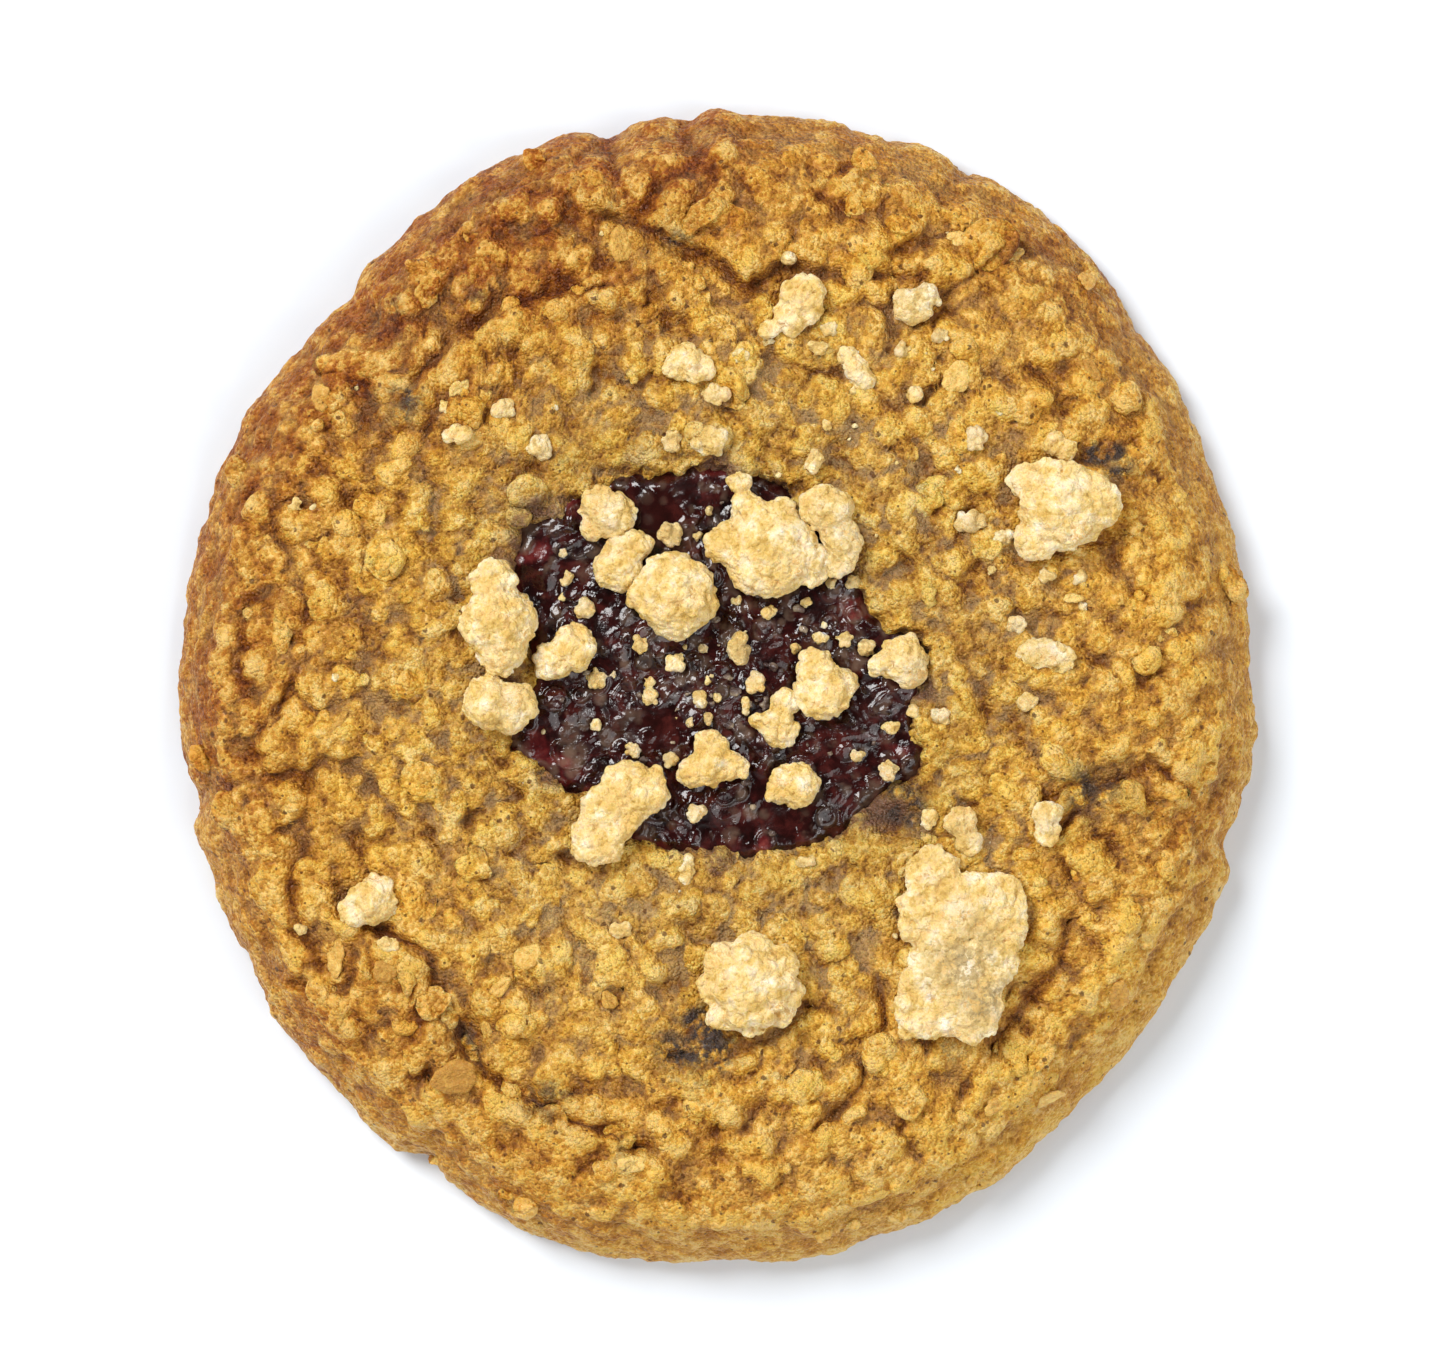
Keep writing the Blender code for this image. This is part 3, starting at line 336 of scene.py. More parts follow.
# The sizes of the finest crumbs.
SMALLEST_ON_DOUGH = 0.35
SMALLEST_ON_JAM = 0.4
LARGEST_DUST = 0.9

# How far the scattered crumbs and beads keep from the jam's outline.
CLEAR_OF_SHORE = 0.8

# The ovals that they are scattered over: half-width and half-length.
NUB_OVAL = (47.5, 50.5)
FLAKE_OVAL = (45, 48)
DUST_OVAL = (46, 48)

# The grids of the dough's and the jam's surfaces, in squares along one side, and the rings of the
# dough's edge.
DOUGH_GRID = 288
UNDERSIDE_GRID = 72
EDGE_RINGS = 7
JAM_GRID = 230

# The corners round an oat flake and from its middle out, and how far off its slope is measured.
FLAKE_SPOKES = 28
FLAKE_RINGS = 7
SLOPE_STEP = 0.8

# Lights: name, azimuth, elevation, distance and width in metres, power.
LIGHTS = (
    ("key", 138, 50, 2.5, 1.3, 60),
    ("fill", -35, 50, 2.5, 2.0, 22),
    ("sparkle_1", 60, 48, 2.5, 0.4, 4),
    ("sparkle_2", 195, 48, 2.5, 0.4, 4),
    ("sparkle_3", 285, 48, 2.5, 0.4, 4),
    ("sparkle_4", 345, 48, 2.5, 0.4, 4),
)

# The brightness of the surroundings: the height on a ball of radius 1, brightness.
SKY = ((0.0, 0.9), (0.85, 0.06))

# The floor, in metres. It lies a little below the underside, so that the two don't flicker.
FLOOR_HALF_WIDTH = 8.0
FLOOR_DROP = 1e-4

# The photograph's frame in pixels, where the cookie's middle is in it, and its scale at CAMERA_PLANE,
# which is a height in millimetres about halfway up the cookie.
PHOTO_WIDTH = 1445
PHOTO_HEIGHT = 1348
COOKIE_PIXEL = (718.0, 685.5)
PIXELS_PER_MM = 11.2
CAMERA_PLANE = 8.0

# The camera, in metres, with its sensor in millimetres.
CAMERA_DISTANCE = 1.0
SENSOR_WIDTH = 36.0
CLIP_RANGE = (0.01, 10)


def remove_startup_objects():
    for obj in list(bpy.data.objects):
        bpy.data.objects.remove(obj)


# ---------------------------------------------------------------- the cookie's form


def cell_random(i, j, seed):
    """A repeatable random number from 0 to 1 for each whole-numbered cell."""
    i, j = i.astype(np.int64), j.astype(np.int64)
    mixed = (i * 374761393 + j * 668265263 + seed * 144665) & 0xFFFFFFFF
    mixed = ((mixed ^ (mixed >> 13)) * 1274126177) & 0xFFFFFFFF
    return ((mixed ^ (mixed >> 16)) & 0xFFFFFF) / 0x1000000


def waves(x, y, size, seed):
    """Smooth random waves from -1 to 1, each about `size` across. Every use has a seed of its own."""
    i, j = np.floor(x / size), np.floor(y / size)
    a, b = x / size - i, y / size - j
    a, b = a * a * (3 - 2 * a), b * b * (3 - 2 * b)
    near = cell_random(i, j, seed) * (1 - a) + cell_random(i + 1, j, seed) * a
    far = cell_random(i, j + 1, seed) * (1 - a) + cell_random(i + 1, j + 1, seed) * a
    return 2 * (near * (1 - b) + far * b) - 1


def bell(t):
    return np.exp(-t * t)


def smooth_step(t):
    t = np.clip(t, 0, 1)
    return t * t * (3 - 2 * t)


def polar(angle, out, middle=(0, 0)):
    """Places at a distance from the middle, in each direction."""
    return middle[0] + out * np.cos(angle), middle[1] + out * np.sin(angle)


def outline_radius(angle):
    """How far the widest line of the edge lies from the middle, in each direction."""
    across, along = WIDTH / 2, LENGTH / 2
    cosine, sine = np.cos(angle), np.sin(angle)
    radius = across * along / np.hypot(along * cosine, across * sine)
    for direction, spread, height in SWELLS + tuple((d, s, -h) for d, s, h in NICKS):
        away = (np.degrees(angle) - direction + 180) % 360 - 180
        radius = radius + height * bell(away / spread)
    for seed, (width, height) in enumerate(EDGE_BUMPS, 11):
        radius = radius + height * waves(across * cosine, along * sine, width, seed)
    return radius


def frame_fit():
    """The outline's middle and the scale that gives it its exact width and length."""
    angle = np.linspace(0, 2 * np.pi, FIT_POINTS, endpoint=False)
    x, y = polar(angle, outline_radius(angle))
    middle = ((x.max() + x.min()) / 2, (y.max() + y.min()) / 2)
    return middle, (WIDTH / np.ptp(x), LENGTH / np.ptp(y))


def jam_radius(angle):
    """How far the jam's outline lies from JAM_CENTRE: a smooth closed curve through JAM_OUTLINE."""
    points = np.array(JAM_OUTLINE) - JAM_CENTRE
    turns = np.unwrap(np.arctan2(points[:, 1], points[:, 0]))
    reach = np.hypot(points[:, 0], points[:, 1])
    turns = np.concatenate([turns[-2:] - 2 * np.pi, turns, turns[:3] + 2 * np.pi])
    reach = np.concatenate([reach[-2:], reach, reach[:3]])
    slope = np.gradient(reach, turns)
    angle = (angle - turns[1]) % (2 * np.pi) + turns[1]
    k = np.clip(np.searchsorted(turns, angle, side="right") - 1, 0, len(turns) - 2)
    step = turns[k + 1] - turns[k]
    t = (angle - turns[k]) / step
    start = reach[k] * (1 + 2 * t) * (1 - t) ** 2 + slope[k] * step * t * (1 - t) ** 2
    return start + reach[k + 1] * t * t * (3 - 2 * t) + slope[k + 1] * step * t * t * (t - 1)


def jam_depth(x, y):
    """How far inside the jam's outline each point lies. It is negative outside."""
    dx, dy = x - JAM_CENTRE[0], y - JAM_CENTRE[1]
    return jam_radius(np.arctan2(dy, dx)) - np.hypot(dx, dy)


def turned(x, y, angle):
    return x * math.cos(angle) + y * math.sin(angle), y * math.cos(angle) - x * math.sin(angle)


def oats(x, y):
    """The clustered oat lumps: the highest of the caps around each point."""
    x, y = turned(x, y, OAT_TURN)
    warp_x = x + 0.50 * waves(x, y, 2.3, 25) + 0.25 * waves(x, y, 0.9, 26)
    warp_y = y + 0.50 * waves(x, y, 2.3, 27) + 0.25 * waves(x, y, 0.9, 28)
    i, j = np.floor(x / OAT_SPACING), np.floor(y / OAT_SPACING)
    highest = np.zeros_like(x)
    for di, dj in itertools.product((-1, 0, 1), repeat=2):
        ci, cj = i + di, j + dj
        cx = (ci + 0.5 + OAT_JITTER * (cell_random(ci, cj, 21) - 0.5)) * OAT_SPACING
        cy = (cj + 0.5 + OAT_JITTER * (cell_random(ci, cj, 22) - 0.5)) * OAT_SPACING
        radius = OAT_SPACING * (0.55 + 0.3 * cell_random(ci, cj, 23))
        height = OAT_HEIGHT * (0.35 + 0.65 * cell_random(ci, cj, 24))
        turn = np.pi * cell_random(ci, cj, 29)
        long = (warp_x - cx) * np.cos(turn) + (warp_y - cy) * np.sin(turn)
        short = (warp_y - cy) * np.cos(turn) - (warp_x - cx) * np.sin(turn)
        cap = 1 - (long / OAT_STRETCH) ** 2 / radius ** 2 - (short * OAT_STRETCH) ** 2 / radius ** 2
        highest = np.maximum(highest, height * np.sqrt(np.clip(cap, 0, 1)))
    return highest


def line_offset(x, y, line):
    """Distance from a line of straight runs, and the signed distance to its left."""
    nearest, offset = np.full_like(x, 1e9), np.zeros_like(x)
    for (ax, ay), (bx, by) in zip(line, line[1:]):
        ux, uy = bx - ax, by - ay
        length = math.hypot(ux, uy)
        t = np.clip(((x - ax) * ux + (y - ay) * uy) / length ** 2, 0, 1)
        away = np.hypot(x - ax - t * ux, y - ay - t * uy)
        offset = np.where(away < nearest, ((y - ay) * ux - (x - ax) * uy) / length, offset)
        nearest = np.minimum(nearest, away)
    return nearest, offset


def folds(x, y, lines, width):
    """The relief of grooves that each raise the dough along one side, and how deep in one you are."""
    relief, groove = np.zeros_like(x), np.zeros_like(x)
    x = x + 0.45 * waves(x, y, 2.4, 33) + 0.15 * waves(x, y, 1.0, 34)
    y = y + 0.45 * waves(x, y, 2.4, 35) + 0.15 * waves(x, y, 1.0, 36)
    for depth, lip, side, line in lines:
        nearest, offset = line_offset(x, y, line)
        dip = bell(nearest / width)
        relief -= depth * dip
        raised = bell((nearest - LIP_CREST) / LIP_REACH)
        relief += lip * raised * np.clip(offset * side / width, 0, 1)
        groove = np.maximum(groove, dip * min(1, depth))
    return relief, groove


def roll_width(angle):
    return ROLL_WIDTH * (1 + ROLL_CHANGE * np.cos(angle - math.radians(ROLL_WIDEST)))


def dough_form(x, y):
    """The dough's top without its fine relief: its height, and how deep in a groove each point is."""
    angle = np.arctan2(y, x)
    reach, out = outline_radius(angle), np.hypot(x, y)
    inset = np.maximum(reach - out, 0)
    dome = CENTRE_HEIGHT - RIM_DROP * np.clip(out / reach, 0, 1) ** RIM_POWER
    fold, groove = folds(x, y, CREASES, CREASE_WIDTH)
    fold *= CREASE_SHARE
    crack, split = folds(x, y, CRACKS, 0.6 * CREASE_WIDTH)
    lumps = OAT_SHARE * (oats(x, y) - OAT_HEIGHT / 2)
    relief = WAVE_HEIGHT * waves(x, y, WAVE_LENGTH, 31) + fold + crack + lumps
    for px, py, radius, depth in PITS:
        relief -= depth * bell(np.hypot(x - px, y - py) / radius)
    rounding = np.sqrt(1 - np.clip(1 - inset / roll_width(angle), 0, 1) ** 2)
    height = LIP_HEIGHT + (dome - LIP_HEIGHT) * rounding + relief * np.clip(inset / ROLL_WIDTH, 0, 1)
    return height, np.maximum(groove, split)


def jam_height(x, y):
    """Height of the jam's wrinkled top."""
    wrinkles = sum(height * waves(x, y, size, 41 + k) for k, (size, height) in enumerate(JAM_WAVES))
    return JAM_LEVEL + wrinkles


# ---------------------------------------------------------------- fine relief in space


def space_random(cell, seed):
    """A repeatable random number from 0 to 1 for each whole-numbered cell of space."""
    return cell_random(cell[:, 0] + 7919 * cell[:, 2], cell[:, 1] - 104729 * cell[:, 2], seed)


def space_waves(points, size, seed):
    """Smooth random waves from -1 to 1 in space, each about `size` across."""
    turned = points @ TURN / size + 0.37 * seed
    cell = np.floor(turned).astype(np.int64)
    part = turned - cell
    part = part * part * (3 - 2 * part)
    total = np.zeros(len(points))
    for corner in itertools.product((0, 1), repeat=3):
        weight = np.prod(np.where(np.array(corner) == 1, part, 1 - part), axis=1)
        total += weight * space_random(cell + corner, seed)
    return 2 * total - 1


def turn_in_space():
    """A fixed turn, so that no wave lines up with the axes."""
    one, two = math.radians(31), math.radians(52)
    about_z = np.array([[math.cos(one), -math.sin(one), 0], [math.sin(one), math.cos(one), 0], [0, 0, 1]])
    about_x = np.array([[1, 0, 0], [0, math.cos(two), -math.sin(two)], [0, math.sin(two), math.cos(two)]])
    return about_z @ about_x


TURN = turn_in_space()


def shaken(points, size, amount, seed):
    """The points, each moved a little by waves, so that what is drawn there gets ragged borders."""
    shift = [space_waves(points, size, seed + k) for k in range(3)]
    return points + amount * np.column_stack(shift)


def nodules(points, size, seed, share=1.0):
    """Rounded lumps in space: the highest cap at each point, 0 to 1, and that lump's chance."""
    cell = np.floor(points / size).astype(np.int64)
    highest, chance = np.zeros(len(points)), np.full(len(points), 0.5)
    for step in itertools.product((-1, 0, 1), repeat=3):
        near = cell + step
        jitter = np.column_stack([space_random(near, seed + k) for k in range(3)])
        away = points - (near + 0.5 + 0.8 * (jitter - 0.5)) * size
        radius = size * (0.5 + 0.4 * space_random(near, seed + 3))
        height = 0.45 + 0.55 * space_random(near, seed + 4)
        height = np.where(space_random(near, seed + 5) < share, height, 0)
        cap = height * np.sqrt(np.clip(1 - (away ** 2).sum(1) / radius ** 2, 0, 1))
        chance = np.where(cap > highest, space_random(near, seed + 6), chance)
        highest = np.maximum(highest, cap)
    return highest, chance


# ---------------------------------------------------------------- meshes


def disc_grid(count, jitter=0.0):
    """A square grid laid onto a disc: each point's distance from 0 to 1, its angle and the quads."""
    side = np.linspace(-1, 1, count + 1)
    v, u = (grid.ravel() for grid in np.meshgrid(side, side, indexing="ij"))
    row, column = (k.ravel() for k in np.indices((count + 1, count + 1)))
    inside = (row > 0) & (row < count) & (column > 0) & (column < count)
    u = u + inside * jitter * (cell_random(row, column, 91) - 0.5) * 2 / count
    v = v + inside * jitter * (cell_random(row, column, 92) - 0.5) * 2 / count
    wide = np.abs(u) >= np.abs(v)
    by_u = np.pi / 4 * v / np.where(u == 0, 1, u) + np.where(u < 0, np.pi, 0)
    by_v = np.pi / 2 - np.pi / 4 * u / np.where(v == 0, 1, v) + np.where(v < 0, np.pi, 0)
    first = (np.arange(count)[:, None] * (count + 1) + np.arange(count)).ravel()
    quads = np.column_stack([first, first + 1, first + count + 2, first + count + 1])
    return np.maximum(np.abs(u), np.abs(v)), np.where(wide, by_u, by_v), quads


def disc_rim(count):
    """Numbers of the points round such a grid, counter-clockwise."""
    wide = count + 1
    return np.concatenate([
        np.arange(count),
        count + wide * np.arange(count),
        wide * wide - 1 - np.arange(count),
        wide * (count - np.arange(count)),
    ])


def rim_angle(count):
    """The angle of each of those points, in the same order."""
    return (np.arange(4 * count) / (4 * count) - 0.375) * 2 * np.pi


def band(first, second):
    """Quads between two rings of point numbers of the same length."""
    return np.column_stack([first, second, np.roll(second, -1), np.roll(first, -1)])


def bands(ring, start, count):
    """Quads from a ring through `count` more rings, numbered from `start`, and the last of them."""
    faces = []
    for k in range(count):
        lower = start + k * len(ring) + np.arange(len(ring))
        faces.append(band(ring, lower))
        ring = lower
    return faces, ring


def joined(parts):
    """The points and the faces of several parts, each of them a pair of points and faces, as one."""
    starts = np.cumsum([0] + [len(points) for points, _ in parts[:-1]])
    faces = [faces + start for (_, faces), start in zip(parts, starts)]
    return np.vstack([points for points, _ in parts]), np.vstack(faces)


def padded(values, count, rest=0.0):
    """The values, and after them the same value again and again up to the count."""
    return np.concatenate([values, np.full(count - len(values), rest)])


def in_frame(points):
    """Millimetres of the drawing into metres of the cookie's frame."""
    (mx, my), (sx, sy) = frame_fit()
    return (np.asarray(points) - (mx, my, 0)) * (sx * MM, sy * MM, MM)


def make_mesh(name, points, *groups):
    """A mesh from points in metres and groups of faces, each group with one corner count."""
    mesh = bpy.data.meshes.new(name)
    mesh.vertices.add(len(points))
    mesh.vertices.foreach_set("co", np.asarray(points, np.float32).ravel())
    groups = [np.asarray(group, np.int32) for group in groups]
    sizes = np.concatenate([np.full(len(group), group.shape[1]) for group in groups])
    mesh.loops.add(int(sizes.sum()))
    mesh.loops.foreach_set("vertex_index", np.concatenate([group.ravel() for group in groups]))
    mesh.polygons.add(len(sizes))
    mesh.polygons.foreach_set("loop_start", np.concatenate([[0], np.cumsum(sizes)[:-1]]).astype(np.int32))
    mesh.update(calc_edges=True)
    mesh.validate()
    mesh.shade_smooth()
    return mesh


def corners(mesh):
    points = np.empty(len(mesh.vertices) * 3, np.float32)
    mesh.vertices.foreach_get("co", points)
    return points.reshape(-1, 3).astype(float)


def normals(mesh):
    found = np.empty(len(mesh.vertices) * 3, np.float32)
    mesh.vertex_normals.foreach_get("vector", found)
    return found.reshape(-1, 3).astype(float)


def hollowness(mesh, points, out, rounds):
    """How far each corner lies below its surroundings along the normal. A higher one is below 0."""
    ends = np.empty(len(mesh.edges) * 2, np.int32)
    mesh.edges.foreach_get("vertices", ends)
    one, two = ends.reshape(-1, 2).T
    count = np.bincount(ends, minlength=len(points))
    smooth = points
    for _ in range(rounds):
        smooth = np.column_stack([
            np.bincount(one, smooth[two, k], len(points)) + np.bincount(two, smooth[one, k], len(points))
            for k in range(3)
        ]) / count[:, None]
    return ((smooth - points) * out).sum(axis=1)


def move_corners(mesh, points):
    mesh.vertices.foreach_set("co", np.asarray(points, np.float32).ravel())
    mesh.update()


def add_values(mesh, **values):
    """Stores numbers from 0 to 1 at the mesh's corners, for its material to read."""
    for name, value in values.items():
        attribute = mesh.attributes.new(name, "FLOAT", "POINT")
        attribute.data.foreach_set("value", np.clip(value, 0, 1).astype(np.float32))


def add_piece(name, mesh, material, slot, *replaced):
    """Puts the mesh in the scene as a piece of the cookie that stands for the named solids."""
    obj = bpy.data.objects.new(name, mesh)
    bpy.context.scene.collection.objects.link(obj)
    mesh.materials.clear()
    mesh.materials.append(material)
    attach(obj, "root")
    if replaced:
        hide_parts(*replaced)
    return obj


# ---------------------------------------------------------------- dough


def top_points():
    """Points of the dough's top, in even steps from the middle out and down the rolled edge."""
    far, angle, quads = disc_grid(DOUGH_GRID, 0.5)
    reach, roll = outline_radius(angle), roll_width(angle)
    fall = CENTRE_HEIGHT - RIM_DROP - LIP_HEIGHT
    arc = np.pi / 2 * np.hypot(roll, fall) / math.sqrt(2)
    along = far * (reach - roll + arc)
    turn = np.pi / 2 * np.clip((along - reach + roll) / arc, 0, 1)
    out = np.where(along < reach - roll, along, reach - roll + roll * np.sin(turn))
    return *polar(angle, out), quads


def edge_points():
    """Rings from the widest line of the edge down to the foot."""
    angle = rim_angle(DOUGH_GRID)
    reach = outline_radius(angle)
    rings = []
    for k in range(1, EDGE_RINGS + 1):
        turn = np.pi / 2 * k / EDGE_RINGS
        out = reach - FOOT_INSET * (1 - math.cos(turn))
        height = np.full_like(out, LIP_HEIGHT * (1 - math.sin(turn)))
        rings.append(np.column_stack([*polar(angle, out), height]))
    return rings


def underside_points():
    """The flat underside, with shallow dents."""
    far, angle, quads = disc_grid(UNDERSIDE_GRID)
    x, y = polar(angle, far * (outline_radius(angle) - UNDERSIDE_INSET))
    dents = DENT_DEPTH * np.clip(waves(x, y, 3.1, 95) + 0.6 * waves(x, y, 1.5, 96) - 0.5, 0, 1)
    return np.column_stack([x, y, dents * (far < 1 - 1 / UNDERSIDE_GRID)]), quads[:, ::-1]


def stitch(fine, coarse):
    """Triangles between a fine ring and a coarse one whose points it has several times over."""
    times = len(fine) // len(coarse)
    faces = []
    for k in range(len(coarse)):
        for step in range(times):
            one, two = fine[k * times + step], fine[(k * times + step + 1) % len(fine)]
            faces.append((one, coarse[k] if step < times / 2 else coarse[(k + 1) % len(coarse)], two))
        middle = fine[(k * times + times // 2) % len(fine)]
        faces.append((middle, coarse[k], coarse[(k + 1) % len(coarse)]))
    return faces


def well_height(depth, height):
    """The dough's height near the jam: over the rim and down the well's wall."""
    (step, step_height), (foot, floor) = WELL_WALL
    over_rim = smooth_step((depth + WELL_ROUNDING) / (step + WELL_ROUNDING))
    down = np.clip((depth - step) / (foot - step), 0, 1)
    return height + (step_height - height) * over_rim + (floor - step_height) * down


def spots(x, y, places):
    """How strongly each point lies in one of the places, which have ragged borders."""
    x = x + 1.2 * waves(x, y, 2.6, 101) + 0.5 * waves(x, y, 1.1, 102)
    y = y + 1.2 * waves(x, y, 2.6, 103) + 0.5 * waves(x, y, 1.1, 104)
    found = np.zeros_like(x)
    for px, py, radius, strength in places:
        found = np.maximum(found, strength * bell(np.hypot(x - px, y - py) / radius))
    return found


def add_nubs(x, y, height):
    """Raises the dough under the large oat nubs, and gives how orange it is there."""
    orange = np.zeros_like(x)
    for px, py, width, tone in NUBS:
        cap = bell(1.6 * np.hypot(x - px, y - py) / width)
        height = height + 0.12 * width * cap
        orange = np.maximum(orange, tone * cap)
    return height, orange


def dough_top():
    """The top's points with folds, nubs, the jam's well and the craggy edge, and the quads.

    Also how deep in a groove, how orange and how far from the edge each point is.
    """
    x, y, quads = top_points()
    height, groove = dough_form(x, y)
    height, orange = add_nubs(x, y, height)
    ragged = jam_depth(x, y) + 0.8 * waves(x, y, 2.2, 107) + 0.45 * waves(x, y, 0.9, 108)
    shore = SHORE_SHARE * bell(np.minimum(jam_depth(x, y), 0) / SHORE_WIDTH)
    height = well_height(ragged, height + shore * (SHORE_LEVEL - height))
    angle = np.arctan2(y, x)
    inset = np.maximum(outline_radius(angle) - np.hypot(x, y), 0)
    crag = EDGE_CRAG * (waves(x + 2 * height, y - 2 * height, CRAG_SIZE, 51) - 1) * np.minimum(inset, 1)
    crag *= np.clip(CRAG_REACH - inset, 0, 1)
    x, y = polar(angle, crag, (x, y))
    return np.column_stack([x, y, height]), quads, groove, orange, inset


def dough_mesh():
    """The dough: its smooth form first, then fine relief along the normals and the values for colour."""
    top, quads, groove, orange, inset = dough_top()
    under, under_quads = underside_points()
    points = np.vstack([top, *edge_points(), under])
    edge, foot = bands(disc_rim(DOUGH_GRID), len(top), EDGE_RINGS)
    start = len(points) - len(under)
    faces = np.vstack([quads, *edge, under_quads + start])
    mesh = make_mesh("dough", points, faces, stitch(foot, disc_rim(UNDERSIDE_GRID) + start))

    out, count = normals(mesh), len(points)
    side = padded(1 - np.clip(inset / ROLL_WIDTH, 0, 1), count, 1.0)
    x, y, z = points.T
    free = smooth_step(z / 1.2)
    lip = bell((jam_depth(x, y) + 0.3) / 1.2)
    raised, oat = crumb_relief(points, side)
    raised *= (1 + 0.8 * lip) * (1 - 0.3 * smooth_step(2 * side - 0.8))
    points = points + out * (raised * free)[:, None]
    x, y, z = points.T
    move_corners(mesh, points)
    # The dough's tone: golden on raised parts, and darker in hollows, which is painted shade. On the edge
    # this contrast is weaker.
    level = 0.53 - 0.55 * hollowness(mesh, points, normals(mesh), 8)
    level -= 0.34 * np.tanh(2.0 * hollowness(mesh, points, normals(mesh), 40))
    calm = 0.65 * smooth_step(2.2 * side - 0.6)
    level = MIDDLE_TONE + (level - MIDDLE_TONE) * (1 - calm) - 0.20 * lip
    # Painted light: the rim is paler to the lower right, and its outermost band, which turns from the light,
    # is lighter. The upper left is baked browner.
    level += rim_bake_and_painted_light(x, y) + 0.10 * smooth_step(3 * side - 2)
    move_corners(mesh, in_frame(points))
    # The groove value also carries the pits, for the painted shade in them.
    pits = [(*place, PIT_PAINTED_SHADE) for *place, _ in PITS]
    add_values(
        mesh,
        level=level,
        groove=padded(groove, count) + spots(x, y, pits),
        orange=padded(orange, count),
        oat=oat,
        under=1 - smooth_step(z / 1.5),
        **baking(x, y),
    )
    return mesh


def crumb_relief(points, side):
    """Rounded lumps and clefts of many sizes, in millimetres, and which of the lumps are oats.

    `side` is 1 on the edge and 0 on top.
    """
    bent = shaken(shaken(points, 3.5, 0.8, 111), 1.3, 0.25, 115)
    puffs = sum(
        height * (np.abs(space_waves(bent, size, 120 + k)) - 0.3) * (1 - calm * side)
        for k, (size, height, calm) in enumerate(PUFFS)
    )
    large, large_chance = nodules(bent, OAT_SPACING, 131)
    middle, middle_chance = nodules(bent, MIDDLE_LUMP, 141, 0.6)
    small, _ = nodules(bent, SMALL_LUMP, 151, 0.6)
    here = smooth_step(0.5 + 0.8 * space_waves(points, 4.0, 161))
    split = (1 - np.abs(space_waves(bent, 4.2, 165))) ** 12
    split *= smooth_step(0.3 + 1.5 * space_waves(points, 5.0, 166))
    relief = 0.32 * side * (large - 0.4) + 0.36 * here * (middle - 0.3) + 0.22 * (1 - 0.5 * here) * small
    large_oat = smooth_step(4 * large - 1.4) * smooth_step(8 * large_chance - 4.4)
    middle_oat = smooth_step(4 * middle - 1.0) * smooth_step(8 * middle_chance - 3.6)
    return puffs + relief + 0.14 * large_oat - 0.45 * split, np.maximum(large_oat, middle_oat)


def rim_bake_and_painted_light(x, y):
    """The outer part's colour: paler to the lower right, painted light that evens out the shade where the
    rim turns from the light, and darker to the upper left, where it is baked browner.
    """
    part = smooth_step(np.hypot(x / WIDTH, y / LENGTH) / 0.25 - 1)
    return 0.12 * part * np.cos(np.arctan2(y, x) + math.radians(60))


def baking(x, y):
    """How toasted, pale, stained or jam-soaked the dough is at each point."""
    rim = 1 - np.clip((outline_radius(np.arctan2(y, x)) - np.hypot(x, y)) / BROWN_RIM, 0, 1)
    # The rim is toasted most to the upper left, where it is baked browner, and least to the lower right,
    # which is painted light that evens out the shade there.
    rim *= 0.5 + 0.3 * np.cos(np.arctan2(y, x) - math.radians(140))
    return {
        "toast": spots(x, y, TOASTED) + rim * (1 + 0.5 * waves(x, y, 6.0, 171)),
        "inner": smooth_step((40 - np.hypot(x, y) + 4 * waves(x, y, 8.0, 173)) / 18),
        "pale": spots(x, y, PALE),
        "stain": spots(x, y, STAINS),
        "jam_near": bell(np.minimum(jam_depth(x, y), 0) / JAM_SHADE) * (0.8 + 0.4 * waves(x, y, 2.7, 172)),
    }


def free_of_toppings(x, y, room):
    """Whether a place on the dough is clear of the jam and the crumble lumps."""
    if jam_depth(x, y) > -room:
        return False
    return all(math.dist((x, y), ball[:2]) > ball[2] + room for _, balls in LUMPS for ball in balls)


def random_place(rng, half_width, half_length, evenness):
    """A random place in an oval. Evenness 0.5 spreads such places evenly, 1 gathers them in the middle."""
    angle, far = rng.uniform(0, 2 * np.pi), rng.random() ** evenness
    return half_width * far * math.cos(angle), half_length * far * math.sin(angle)


def random_nubs(count, rng):
    """Places and widths of oat clusters, most of them small, and thicker on some parts than others."""
    rows = []
    while len(rows) < count:
        x, y = random_place(rng, *NUB_OVAL, 0.5)
        width = 1.1 + 2.6 * rng.random() ** 2.2
        thick = waves(x, y, 7.0, 181)
        if free_of_toppings(x, y, 0.3 + width / 2) and rng.uniform(-1, 1) < thick + 0.3:
            rows.append((x, y, width, 0.6 * rng.random() ** 2))
    return rows


